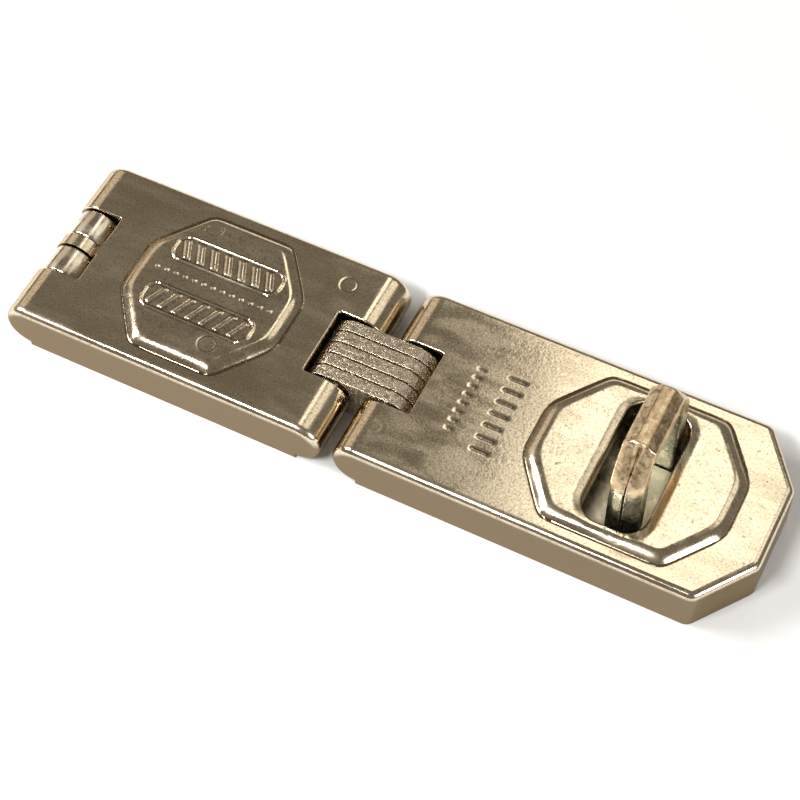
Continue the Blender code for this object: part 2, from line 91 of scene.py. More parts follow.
def arc(centre: Point, radius: float, start: float, end: float, steps: int) -> list[Point]:
    """Points along an arc.

    Args:
        centre: The arc's centre.
        radius: Its radius.
        start: First angle, in degrees.
        end: Last angle, in degrees.
        steps: How many segments it has.

    Returns:
        The points, both ends included.
    """
    points = []
    for i in range(steps + 1):
        angle = math.radians(start + (end - start) * i / steps)
        points.append((centre[0] + radius * math.cos(angle), centre[1] + radius * math.sin(angle)))
    return points


def inset_outline(points: list[Point], distance: float) -> list[Point]:
    """Move every edge of a convex anticlockwise outline inwards.

    Args:
        points: The outline's corners.
        distance: How far the edges move, negative for outwards.

    Returns:
        The moved corners.
    """
    moved = []
    for i, point in enumerate(points):
        here = Vector(point)
        edge_in = (here - Vector(points[i - 1])).normalized()
        edge_out = (Vector(points[(i + 1) % len(points)]) - here).normalized()
        normal_in = Vector((-edge_in.y, edge_in.x))
        normal_out = Vector((-edge_out.y, edge_out.x))
        bisector = (normal_in + normal_out).normalized()
        corner = here + bisector * (distance / bisector.dot(normal_in))
        moved.append((corner.x, corner.y))
    return moved


def rounded_outline(points: list[Point], radius: float, steps: int) -> list[Point]:
    """Round the corners of a convex anticlockwise outline.

    Args:
        points: The outline's corners.
        radius: Radius of each corner.
        steps: Segments in each corner.

    Returns:
        The rounded outline.
    """
    centres = inset_outline(points, radius)
    rounded = []
    for i, point in enumerate(points):
        here = Vector(point)
        edge_in = (here - Vector(points[i - 1])).normalized()
        edge_out = (Vector(points[(i + 1) % len(points)]) - here).normalized()
        start = math.degrees(math.atan2(-edge_in.x, edge_in.y))
        turn = math.degrees(edge_in.angle(edge_out))
        rounded.extend(arc(centres[i], radius, start, start + turn, steps))
    return rounded


def rectangle(x_low: float, x_high: float, half: float) -> list[Point]:
    """Return a rectangle's corners, anticlockwise from its near left."""
    return [(x_low, -half), (x_high, -half), (x_high, half), (x_low, half)]


def octagon(x_low: float, x_high: float, half: float, cut_x: float, cut_y: float) -> list[Point]:
    """Return a rectangle with its corners cut off, anticlockwise from its near left."""
    return [
        (x_low + cut_x, -half), (x_high - cut_x, -half), (x_high, cut_y - half), (x_high, half - cut_y),
        (x_high - cut_x, half), (x_low + cut_x, half), (x_low, half - cut_y), (x_low, cut_y - half),
    ]


def rounded_box_distance(x: float, y: float, half_x: float, half_y: float, radius: float) -> float:
    """Return the signed distance from a point to a rounded rectangle about the origin."""
    dx = abs(x) - half_x + radius
    dy = abs(y) - half_y + radius
    outside = math.hypot(max(dx, 0.0), max(dy, 0.0))
    return outside + min(max(dx, dy), 0.0) - radius


class ConvexField:
    """Signed distance to a convex outline whose corners are softly rounded.

    Args:
        points: The outline's corners, anticlockwise.
        softness: How widely the corners are rounded.
    """

    def __init__(self, points: list[Point], softness: float) -> None:
        self.softness = softness
        self.edges: list[tuple[float, float, float]] = []
        for i, point in enumerate(points):
            after = points[(i + 1) % len(points)]
            direction = (Vector(after) - Vector(point)).normalized()
            normal = (direction.y, -direction.x)
            self.edges.append((normal[0], normal[1], normal[0] * point[0] + normal[1] * point[1]))

    def distance(self, x: float, y: float) -> float:
        """Return the distance, negative inside the outline."""
        values = [nx * x + ny * y - offset for nx, ny, offset in self.edges]
        top = max(values)
        total = sum(math.exp((value - top) / self.softness) for value in values)
        return top + self.softness * math.log(total)


# ---------------------------------------------------------------------------------------------
# Mesh helpers
# ---------------------------------------------------------------------------------------------


def new_piece(name: str, bm: bmesh.types.BMesh, sharp_deg: float = 32.0) -> bpy.types.Object:
    """Turn a bmesh into a smooth-shaded object with outward normals.

    Args:
        name: The object's name.
        bm: The mesh under construction, which is freed.
        sharp_deg: Edges that turn more than this stay sharp.

    Returns:
        The new object, linked to the scene.
    """
    bmesh.ops.recalc_face_normals(bm, faces=bm.faces)
    mesh = bpy.data.meshes.new(name)
    bm.to_mesh(mesh)
    bm.free()
    obj = bpy.data.objects.new(name, mesh)
    bpy.context.collection.objects.link(obj)
    shade(obj, sharp_deg)
    return obj


def shade(obj: bpy.types.Object, sharp_deg: float) -> None:
    """Shade an object smooth except across edges that turn more than an angle."""
    obj.data.shade_smooth()
    obj.data.set_sharp_from_angle(angle=math.radians(sharp_deg))


def bake_modifiers(obj: bpy.types.Object) -> None:
    """Apply an object's modifiers to its mesh."""
    graph = bpy.context.evaluated_depsgraph_get()
    baked = bpy.data.meshes.new_from_object(obj.evaluated_get(graph))
    obj.modifiers.clear()
    old = obj.data
    obj.data = baked
    bpy.data.meshes.remove(old)


def combine(obj: bpy.types.Object, tool_bm: bmesh.types.BMesh, how: Solver) -> None:
    """Join a solid to an object or cut it out.

    Args:
        obj: The object that changes.
        tool_bm: The other solid, which is freed.
        how: Whether to join or cut.
    """
    tool = new_piece("tool", tool_bm)
    modifier = obj.modifiers.new("combine", "BOOLEAN")
    modifier.operation = how.value
    modifier.solver = "MANIFOLD"
    modifier.object = tool
    bpy.context.view_layer.update()
    bake_modifiers(obj)
    bpy.data.objects.remove(tool, do_unlink=True)


def extruded(outline: list[Vector], offset: Vector) -> bmesh.types.BMesh:
    """Extrude a flat outline into a closed solid.

    Args:
        outline: The outline's corners in space.
        offset: How far and which way it is extruded.

    Returns:
        The solid.
    """
    bm = bmesh.new()
    face = bm.faces.new([bm.verts.new(point) for point in outline])
    result = bmesh.ops.extrude_face_region(bm, geom=[face])
    moved = [item for item in result["geom"] if isinstance(item, bmesh.types.BMVert)]
    bmesh.ops.translate(bm, verts=moved, vec=offset)
    bmesh.ops.recalc_face_normals(bm, faces=bm.faces)
    return bm


def side_prism(outline: list[Point], y_low: float, y_high: float) -> bmesh.types.BMesh:
    """Return an outline of (x, z) points extruded across the leaf."""
    return extruded([Vector((x, y_low, z)) for x, z in outline], Vector((0.0, y_high - y_low, 0.0)))


def plan_prism(outline: list[Point], z_low: float, z_high: float) -> bmesh.types.BMesh:
    """Return an outline of (x, y) points extruded upwards."""
    return extruded([Vector((x, y, z_low)) for x, y in outline], Vector((0.0, 0.0, z_high - z_low)))


def block(low: Vector, high: Vector) -> bmesh.types.BMesh:
    """Return a plain block between two corners."""
    bm = bmesh.new()
    bmesh.ops.create_cube(bm, size=1.0)
    bmesh.ops.scale(bm, vec=high - low, verts=bm.verts)
    bmesh.ops.translate(bm, vec=(high + low) / 2, verts=bm.verts)
    return bm


def rod(centre: Vector, radius: float, length: float, sides: int = 64) -> bmesh.types.BMesh:
    """Return a closed cylinder that lies across the leaf.

    Args:
        centre: The middle of its axis.
        radius: Its radius.
        length: Its length.
        sides: How many flats it is made of.

    Returns:
        The cylinder.
    """
    bm = bmesh.new()
    bmesh.ops.create_cone(bm, cap_ends=True, segments=sides, radius1=radius, radius2=radius, depth=length)
    bmesh.ops.rotate(bm, cent=(0, 0, 0), matrix=Matrix.Rotation(math.radians(90), 3, "X"), verts=bm.verts)
    bmesh.ops.translate(bm, vec=centre, verts=bm.verts)
    return bm


def everything(bm: bmesh.types.BMesh) -> list[bmesh.types.BMVert | bmesh.types.BMEdge | bmesh.types.BMFace]:
    """Return all vertices, edges and faces of a mesh."""
    return bm.verts[:] + bm.edges[:] + bm.faces[:]


def fill_holes(bm: bmesh.types.BMesh) -> None:
    """Close every open rim of a mesh with a face."""
    bmesh.ops.holes_fill(bm, edges=[edge for edge in bm.edges if edge.is_boundary])


def quarter_turn(radius: float, steps: int) -> list[Point]:
    """Return how far a rounded rim is set in, and how deep it is, as it turns from lying to standing."""
    turns = [math.radians(90 * i / steps) for i in range(steps + 1)]
    return [(radius * (1 - math.sin(turn)), radius * (1 - math.cos(turn))) for turn in turns]


def loft_rings(levels: list[tuple[list[Point], float]]) -> bmesh.types.BMesh:
    """Bridge plan outlines at rising heights into one closed solid.

    Args:
        levels: Outlines of equal point counts, each with its height.

    Returns:
        The solid.
    """
    bm = bmesh.new()
    loops = []
    for points, z in levels:
        verts = [bm.verts.new((x, y, z)) for x, y in points]
        loops.append([bm.edges.new((verts[i - 1], verts[i])) for i in range(len(verts))])
    for lower, upper in zip(loops, loops[1:]):
        bmesh.ops.bridge_loops(bm, edges=lower + upper)
    fill_holes(bm)
    bmesh.ops.recalc_face_normals(bm, faces=bm.faces)
    return bm


# ---------------------------------------------------------------------------------------------
# Sizes that the model gives and the ones that shape its looks
# ---------------------------------------------------------------------------------------------


@dataclass(frozen=True)
class Sizes:
    """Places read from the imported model, and the sheet sizes that go with them."""

    left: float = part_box("first_leaf")[0][0]
    first_end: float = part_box("first_leaf")[1][0]
    second_start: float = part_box("second_leaf")[0][0]
    tip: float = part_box("second_leaf")[1][0]
    half_width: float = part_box("first_leaf")[1][1]
    roll: float = 5.25 * MM
    sheet: float = 2.2 * MM
    edge: float = 1.5 * MM
    bore: float = 2.95 * MM
    emboss_height: float = 1.5 * MM
    emboss_slope: float = 2.8 * MM
    side_margin: float = 3.3 * MM
    cut_x: float = 8.4 * MM
    cut_y: float = 11.1 * MM
    link_slot_half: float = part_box("link_plate_5")[1][1] + 0.65 * MM
    link_reach: float = 4.5 * MM
    tip_cut_x: float = 8.5 * MM
    tip_cut_y: float = 11.5 * MM
    tip_radius: float = 2.2 * MM
    slot_half_x: float = 5.6 * MM
    slot_half_y: float = 13.2 * MM
    slot_radius: float = 3.4 * MM
    knuckle_half: float = 8.5 * MM
    middle_half: float = 1.4 * MM
    knuckle_cut: float = 5.1 * MM

    @property
    def depth(self) -> float:
        """Height of the side walls."""
        return 2 * self.roll

    @property
    def top(self) -> float:
        """Height of the octagons' tops."""
        return self.depth + self.emboss_height

    @property
    def hinge_x(self) -> float:
        """Place of the hinge pin."""
        return self.left + self.roll

    @property
    def link_a_x(self) -> float:
        """Place of the first link pin."""
        return self.first_end - self.roll

    @property
    def link_b_x(self) -> float:
        """Place of the second link pin."""
        return self.second_start + self.roll

    @property
    def slot_x(self) -> float:
        """Middle of the staple's slot."""
        return self.second_start + 53.8 * MM

    def first_octagon(self) -> list[Point]:
        """Return the foot of the first leaf's octagon."""
        return octagon(self.left + 18.9 * MM, self.first_end - 16.8 * MM,
                       self.half_width - self.side_margin, self.cut_x, self.cut_y)

    def second_octagon(self) -> list[Point]:
        """Return the foot of the second leaf's octagon."""
        return octagon(self.second_start + 33.4 * MM, self.tip - 7.8 * MM,
                       self.half_width - self.side_margin, self.cut_x, self.cut_y)


# ---------------------------------------------------------------------------------------------
# Relief pressed into the sheet
# ---------------------------------------------------------------------------------------------


class Relief:
    """A height added to the sheet at a place, positive outwards."""

    def height(self, s: float, y: float) -> float:
        """Return the height at sheet coordinates s and y."""
        raise NotImplementedError


@dataclass
class RaisedPlateau(Relief):
    """An outline raised on a crowned slope."""

    outline: list[Point]
    rise: float
    slope: float
    softness: float = 0.55 * MM
    shape: ConvexField = field(init=False)

    def __post_init__(self) -> None:
        self.shape = ConvexField(self.outline, self.softness)

    def height(self, s: float, y: float) -> float:
        """Return the raised height, steep at the foot and easing towards the top."""
        share = clamp(-self.shape.distance(s, y) / self.slope)
        return self.rise * (1.0 - (1.0 - share) ** 2)


@dataclass
class Dish(Relief):
    """A shallow fall of the sheet towards a rounded rectangular opening."""

    x: float
    half_x: float
    half_y: float
    corner: float
    depth: float
    width: float

    def height(self, s: float, y: float) -> float:
        """Return the fall as a negative height."""
        return self.fall(rounded_box_distance(s - self.x, y, self.half_x, self.half_y, self.corner))

    def fall(self, distance: float) -> float:
        """Return the fall at a distance outside the opening."""
        return -self.depth * smooth(1.0 - distance / self.width)


@dataclass
class RoundKnuckle(Relief):
    """The narrow knuckle between the barrels, rounded over like them."""

    hinge_x: float
    half_y: float
    radius: float
    end: float
    set_back: float = 0.25 * MM
    turned_share: float = 0.8
    end_slope: float = 1.1

    def height(self, s: float, y: float) -> float:
        """Return the fall from the flat as a negative height."""
        along = s - self.hinge_x
        if abs(y) > self.half_y or along > self.end:
            return 0.0
        fall = self.set_back
        if along > 0.0:
            fall += self.radius - math.sqrt(self.radius ** 2 - min(along, self.turned_share * self.radius) ** 2)
        return -min(fall, self.set_back + self.end_slope * (self.end - along))


@dataclass
class RibPanel(Relief):
    """A low plain panel with slanting ribs across it."""

    x: float
    y: float
    half_x: float
    half_y: float
    rise: float
    rib_pitch: float
    slant: float
    corner: float = 2.6 * MM
    border_inset: float = 0.35 * MM
    border_width: float = 0.25 * MM
    rib_inset: float = 0.9 * MM
    rib_fade: float = 0.5 * MM

    def height(self, s: float, y: float) -> float:
        """Return the panel's border and ribs."""
        dx, dy = s - self.x, y - self.y
        distance = rounded_box_distance(dx, dy, self.half_x, self.half_y, self.corner)
        if distance > 0.0:
            return 0.0
        border = smooth((self.border_width - abs(distance + self.border_inset)) / self.border_width)
        wave = math.cos(2 * math.pi * (dx + self.slant * dy) / self.rib_pitch)
        ribs = smooth(wave * 1.6 - 0.1) * smooth((-distance - self.rib_inset) / self.rib_fade)
        return self.rise * max(border, ribs)


@dataclass
class DashRow(Relief):
    """A straight row of short round-ended marks, raised or struck in."""

    x: float
    y: float
    count: int
    pitch_x: float
    pitch_y: float
    half_x: float
    half_y: float
    rise: float
    slope: float = 0.28 * MM

    def height(self, s: float, y: float) -> float:
        """Return the height of the nearest mark."""
        span = (self.count - 1) / 2
        axis_length = self.pitch_x ** 2 + self.pitch_y ** 2
        along = ((s - self.x) * self.pitch_x + (y - self.y) * self.pitch_y) / axis_length
        index = clamp(round(along + span), 0, self.count - 1) - span
        dx = s - self.x - index * self.pitch_x
        dy = y - self.y - index * self.pitch_y
        distance = rounded_box_distance(dx, dy, self.half_x, self.half_y, min(self.half_x, self.half_y))
        return self.rise * smooth(-distance / self.slope)


@dataclass
class WeldRing(Relief):
    """A shallow round ring left by a weld."""

    x: float
    y: float
    radius: float
    depth: float
    groove_half: float = 0.45 * MM
    dish_share: float = 0.35
    dish_fade: float = 0.8 * MM

    def height(self, s: float, y: float) -> float:
        """Return the ring's groove and the slight dish inside it."""
        distance = math.hypot(s - self.x, y - self.y)
        groove = smooth(1.0 - abs(distance - self.radius) / self.groove_half)
        dish = self.dish_share * smooth((self.radius - distance) / self.dish_fade)
        return -self.depth * (groove + dish)


@dataclass
class Waviness(Relief):
    """The slow unevenness of pressed sheet."""

    depth: float
    wavelength: float
    seed: float

    def height(self, s: float, y: float) -> float:
        """Return a small smooth height."""
        place = Vector((s / self.wavelength, y / self.wavelength, self.seed))
        return self.depth * noise.noise(place)


# ---------------------------------------------------------------------------------------------
# Leaves
# ---------------------------------------------------------------------------------------------


@dataclass
class Border:
    """One place on a leaf's edge, from which the sheet turns down into a wall."""

    base: Vector
    outward: Vector
    normal: Vector
    wall_top: Vector
    on_flat: bool


@dataclass
class SheetMap:
    """Bends sheet coordinates round a leaf's rolls."""

    sizes: Sizes
    start: float
    end: float
    has_tip: bool

    @property
    def left_x(self) -> float:
        """Centre of the left roll, where the flat begins."""
        return self.start + self.sizes.roll

    @property
    def right_x(self) -> float:
        """Centre of the right roll, where the flat ends."""
        return self.end - self.sizes.roll

    def frame_at(self, s: float) -> tuple[Vector, Vector, Vector]:
        """Place of a line across the sheet.

        Args:
            s: Distance along the developed sheet.

        Returns:
            The line's middle, its outward normal, and the roll's centre or the wall's middle height.
        """
        radius = self.sizes.roll
        angle = math.pi / 2
        centre = Vector((clamp(s, self.left_x, self.end if self.has_tip else self.right_x), 0.0, radius))
        if s < self.left_x:
            angle += (self.left_x - s) / radius
        elif s > self.right_x and not self.has_tip:
            angle -= (s - self.right_x) / radius
        normal = Vector((math.cos(angle), 0.0, math.sin(angle)))
        return centre + normal * radius, normal, centre

    def place(self, s: float, y: float, height: float) -> Vector:
        """Return the point at sheet coordinates s and y, at a height over the sheet."""
        middle, normal, _ = self.frame_at(s)
        return middle + normal * height + Vector((0.0, y, 0.0))


@dataclass
class LeafSkin:
    """Builds a leaf's closed outer body on a fine grid and presses its relief into it."""

    sizes: Sizes
    sheet: SheetMap
    reliefs: list[Relief]
    cell: float = 0.27 * MM
    edge_rings: int = 6
    roll_fade: float = 3 * MM
    tip_zone: float = 2.5 * MM
    tip_steps: int = 16
    end_facing: float = 0.92

    @property
    def flat_half(self) -> float:
        """Half width between the rounded edges."""
        return self.sizes.half_width - self.sizes.edge

    def lift(self, s: float, y: float) -> float:
        """Return the whole relief at a place on the sheet, fading to nothing under the rolls."""
        half_turn = math.pi * self.sizes.roll
        under = s - self.sheet.left_x + half_turn
        if not self.sheet.has_tip:
            under = min(under, self.sheet.right_x + half_turn - s)
        fade = smooth(under / self.roll_fade)
        return fade * sum(relief.height(s, y) for relief in self.reliefs)

    def stations(self) -> list[float]:
        """Return the sheet coordinates of the grid's rows, from the left roll's underside on."""
        sheet, half_turn = self.sheet, math.pi * self.sizes.roll
        marks = [sheet.left_x - half_turn, sheet.left_x]
        if sheet.has_tip:
            marks.append(sheet.end - self.sizes.tip_cut_x - self.tip_zone)
        else:
            marks += [sheet.right_x, sheet.right_x + half_turn]
        found = [marks[0]]
        for low, high in zip(marks, marks[1:]):
            steps = math.ceil((high - low) / self.cell)
            found += [low + (high - low) * (i + 1) / steps for i in range(steps)]
        return found

    def tip_edge(self, x_low: float) -> list[tuple[Vector, Vector]]:
        """Inner edge of the tip's rounding, evenly stepped.

        Args:
            x_low: Where the tip zone begins.

        Returns:
            Points from the near side round to the far side, each with its outward direction.
        """
        sizes, end = self.sizes, self.sheet.end
        half, before = sizes.half_width, x_low - 10 * MM
        corners = [
            (before, -half), (end - sizes.tip_cut_x, -half), (end, sizes.tip_cut_y - half),
            (end, half - sizes.tip_cut_y), (end - sizes.tip_cut_x, half), (before, half),
        ]
        path, turns = [Vector((x_low, -half))], [Vector((0, -1))]
        rounded = rounded_outline(corners, sizes.tip_radius, self.tip_steps)
        count = self.tip_steps + 1
        for i, centre in enumerate(inset_outline(corners, sizes.tip_radius)[1:5], start=1):
            for point in rounded[count * i:count * (i + 1)]:
                path.append(Vector(point))
                turns.append((Vector(point) - Vector(centre)).normalized())
        path.append(Vector((x_low, half)))
        turns.append(Vector((0, 1)))
        inner = [point - turn * sizes.edge for point, turn in zip(path, turns)]
        steps = 2 * math.ceil(sum((b - a).length for a, b in zip(path, path[1:])) / self.cell / 2)
        return resample(inner, turns, steps)

    def build(self) -> bmesh.types.BMesh:
        """Return the leaf's closed outer body, without hollows or openings."""
        sheet = self.sheet
        rows = self.stations()
        columns = 2 * math.ceil(self.flat_half / self.cell)
        tip_rows = 0
        edge: list[tuple[Vector, Vector]] = []
        if sheet.has_tip:
            edge = self.tip_edge(rows[-1])
            tip_rows = next(i for i, (_, outward) in enumerate(edge) if outward.x > self.end_facing)
        bm = bmesh.new()
        bmesh.ops.create_grid(bm, x_segments=len(rows) - 1 + tip_rows, y_segments=columns, size=0.5)
        tag = bm.verts.layers.int.new("border")
        borders: list[Border] = []
        last_row = len(rows) - 1 + tip_rows
        end_part = edge[tip_rows:len(edge) - tip_rows]
        end_curve = resample([p for p, _ in end_part], [o for _, o in end_part], columns) if edge else []
        for vert in bm.verts:
            i, j = round((vert.co.x + 0.5) * last_row), round((vert.co.y + 0.5) * columns)
            y = self.flat_half * (2 * j / columns - 1)
            outward = Vector((0, -1 if j == 0 else 1, 0))
            if i < len(rows):
                s = rows[i]
            else:
                k = i - len(rows) + 1
                point = self.coons(k / tip_rows, j / columns, rows[-1], edge[k][0], edge[-1 - k][0], end_curve)
                s, y = point
                side = end_curve[j][1] if i == last_row else edge[k][1] if j == 0 else edge[-1 - k][1]
                outward = side.to_3d()
            vert.co = sheet.place(s, y, self.lift(s, y))
            vert[tag] = 0
            if j in (0, columns) or (edge and i == last_row):
                _, normal, wall_top = sheet.frame_at(s)
                on_flat = sheet.left_x - 1e-9 <= s <= (sheet.end if edge else sheet.right_x) + 1e-9
                borders.append(Border(vert.co.copy(), outward, normal, wall_top, on_flat))
                vert[tag] = len(borders)
        self.turn_down(bm, tag, borders)
        self.close_below(bm)
        bmesh.ops.recalc_face_normals(bm, faces=bm.faces)
        return bm

    def coons(self, u: float, v: float, x_low: float, near: Vector, far: Vector,
              end_curve: list[tuple[Vector, Vector]]) -> tuple[float, float]:
        """Place a grid point between the four edges of the tip.

        Args:
            u: Share of the way from the flat to the tip's end.
            v: Share of the way across.
            x_low: Where the tip zone begins.
            near: The near edge at u.
            far: The far edge at u.
            end_curve: The tip's end, from near to far.

        Returns:
            The point's place along and across the sheet.
        """
        flat = self.flat_half
        corner_near, corner_far = Vector((x_low, -flat)), Vector((x_low, flat))
        start = corner_near.lerp(corner_far, v)
        end = end_curve[round(v * (len(end_curve) - 1))][0]
        bilinear = start * (1 - u) + end_curve[0][0].lerp(end_curve[-1][0], v) * u
        point = near.lerp(far, v) + start * (1 - u) + end * u - bilinear
        return point.x, point.y

    def turn_down(self, bm: bmesh.types.BMesh, tag: bmesh.types.BMLayerItem, borders: list[Border]) -> None:
        """Round the sheet over its edge and carry it down as a wall.

        Args:
            bm: The mesh that grows.
            tag: Layer that numbers the edge's vertices from 1.
            borders: The edge's places, in the layer's order.
        """
        bend = self.sizes.edge
        edges = [e for e in bm.edges if e.is_boundary and all(v[tag] for v in e.verts)
                 and (e.verts[0].co - e.verts[1].co).length < 3 * self.cell]
        tops: dict[int, Vector] = {}
        for ring in range(1, self.edge_rings + 4):
            if ring == self.edge_rings + 2:
                edges = [e for e in edges if all(borders[v[tag] - 1].on_flat for v in e.verts)]
            grown = bmesh.ops.extrude_edge_only(bm, edges=edges)["geom"]
            for vert in (item for item in grown if isinstance(item, bmesh.types.BMVert)):
                border = borders[vert[tag] - 1]
                if ring <= self.edge_rings:
                    angle = math.radians(90 * ring / self.edge_rings)
                    vert.co = border.base + border.outward * (bend * math.sin(angle)) \
                        - border.normal * (bend * (1 - math.cos(angle)))
                    tops[vert[tag]] = vert.co.copy()
                elif ring == self.edge_rings + 1:
                    vert.co = Vector((tops[vert[tag]].x if border.on_flat else border.wall_top.x,
                                      tops[vert[tag]].y, border.wall_top.z))
                else:
                    vert.co.z = bend if ring == self.edge_rings + 2 else 0.0
            edges = [item for item in grown if isinstance(item, bmesh.types.BMEdge)]
        bmesh.ops.remove_doubles(bm, verts=bm.verts, dist=0.0005 * MM)

    def close_below(self, bm: bmesh.types.BMesh) -> None:
        """Close the steps beside the rolls, then the flat bottom."""
        sizes, sheet = self.sizes, self.sheet
        for x in [sheet.left_x] if sheet.has_tip else [sheet.left_x, sheet.right_x]:
            for side in (-1, 1):
                rim = [e for e in bm.edges if e.is_boundary and all(
                    abs(v.co.x - x) < 0.002 * MM and v.co.z < sizes.edge + 0.01 * MM
                    and side * v.co.y > self.flat_half - 0.01 * MM for v in e.verts)]
                verts = {v for e in rim for v in e.verts}
                low = min(verts, key=lambda v: (round(v.co.z, 6), side * v.co.y))
                corner = min(verts, key=lambda v: (round(v.co.z, 6), -side * v.co.y))
                bmesh.ops.contextual_create(bm, geom=rim + [bm.edges.new((low, corner))])
        fill_holes(bm)


def resample(points: list[Vector], turns: list[Vector], steps: int) -> list[tuple[Vector, Vector]]:
    """Spread points evenly along a path.

    Args:
        points: The path.
        turns: A direction at each of its points.
        steps: How many equal steps it is cut into.

    Returns:
        The new points with their directions, both ends included.
    """
    lengths = [0.0]
    for before, after in zip(points, points[1:]):
        lengths.append(lengths[-1] + (after - before).length)
    spread = []
    leg = 0
    for i in range(steps + 1):
        target = lengths[-1] * i / steps
        while leg < len(points) - 2 and lengths[leg + 1] < target:
            leg += 1
        share = clamp((target - lengths[leg]) / max(lengths[leg + 1] - lengths[leg], 1e-12))
        spread.append((points[leg].lerp(points[leg + 1], share),
                       turns[leg].lerp(turns[leg + 1], share).normalized()))
    return spread


@dataclass
class FlaredOpening:
    """An opening through the sheet whose rim is rounded over into it."""

    outline: list[Point]
    rim: float
    below: float
    slices: list[float] = field(default_factory=list)
    steps: int = 7
    above: float = 1.5 * MM

    def tool(self, sheet: SheetMap, top: float) -> bmesh.types.BMesh:
        """Make the solid that cuts the opening.

        Args:
            sheet: Bends the solid round the leaf's rolls.
            top: Height of the surface that it cuts, over the plain sheet.

        Returns:
            The closed solid.
        """
        levels = [(self.outline, top - self.below)]
        levels += [(self.grown(margin), top - drop) for drop, margin in quarter_turn(self.rim, self.steps)]
        levels.append((levels[-1][0], top + self.above))
        bm = loft_rings(levels)
        for s in self.slices:
            bmesh.ops.bisect_plane(bm, geom=everything(bm), plane_co=(s, 0, 0), plane_no=(1, 0, 0))
        for vert in bm.verts:
            vert.co = sheet.place(vert.co.x, vert.co.y, vert.co.z)
        bmesh.ops.recalc_face_normals(bm, faces=bm.faces)
        return bm

    def grown(self, margin: float) -> list[Point]:
        """Return the outline moved outwards by a margin, point for point."""
        moved = []
        count = len(self.outline)
        for i, point in enumerate(self.outline):
            run = Vector(self.outline[(i + 1) % count]) - Vector(self.outline[i - 1])
            normal = Vector((run.y, -run.x)).normalized()
            before = (Vector(point) - Vector(self.outline[i - 1])).normalized()
            after = (Vector(self.outline[(i + 1) % count]) - Vector(point)).normalized()
            reach = margin / max(math.cos(before.angle(after) / 2), 0.3)
            moved.append((point[0] + normal.x * reach, point[1] + normal.y * reach))
        return moved


# ---------------------------------------------------------------------------------------------
# Finishes
# ---------------------------------------------------------------------------------------------

Colour = tuple[float, float, float]
Stops = list[tuple[float, Colour]]


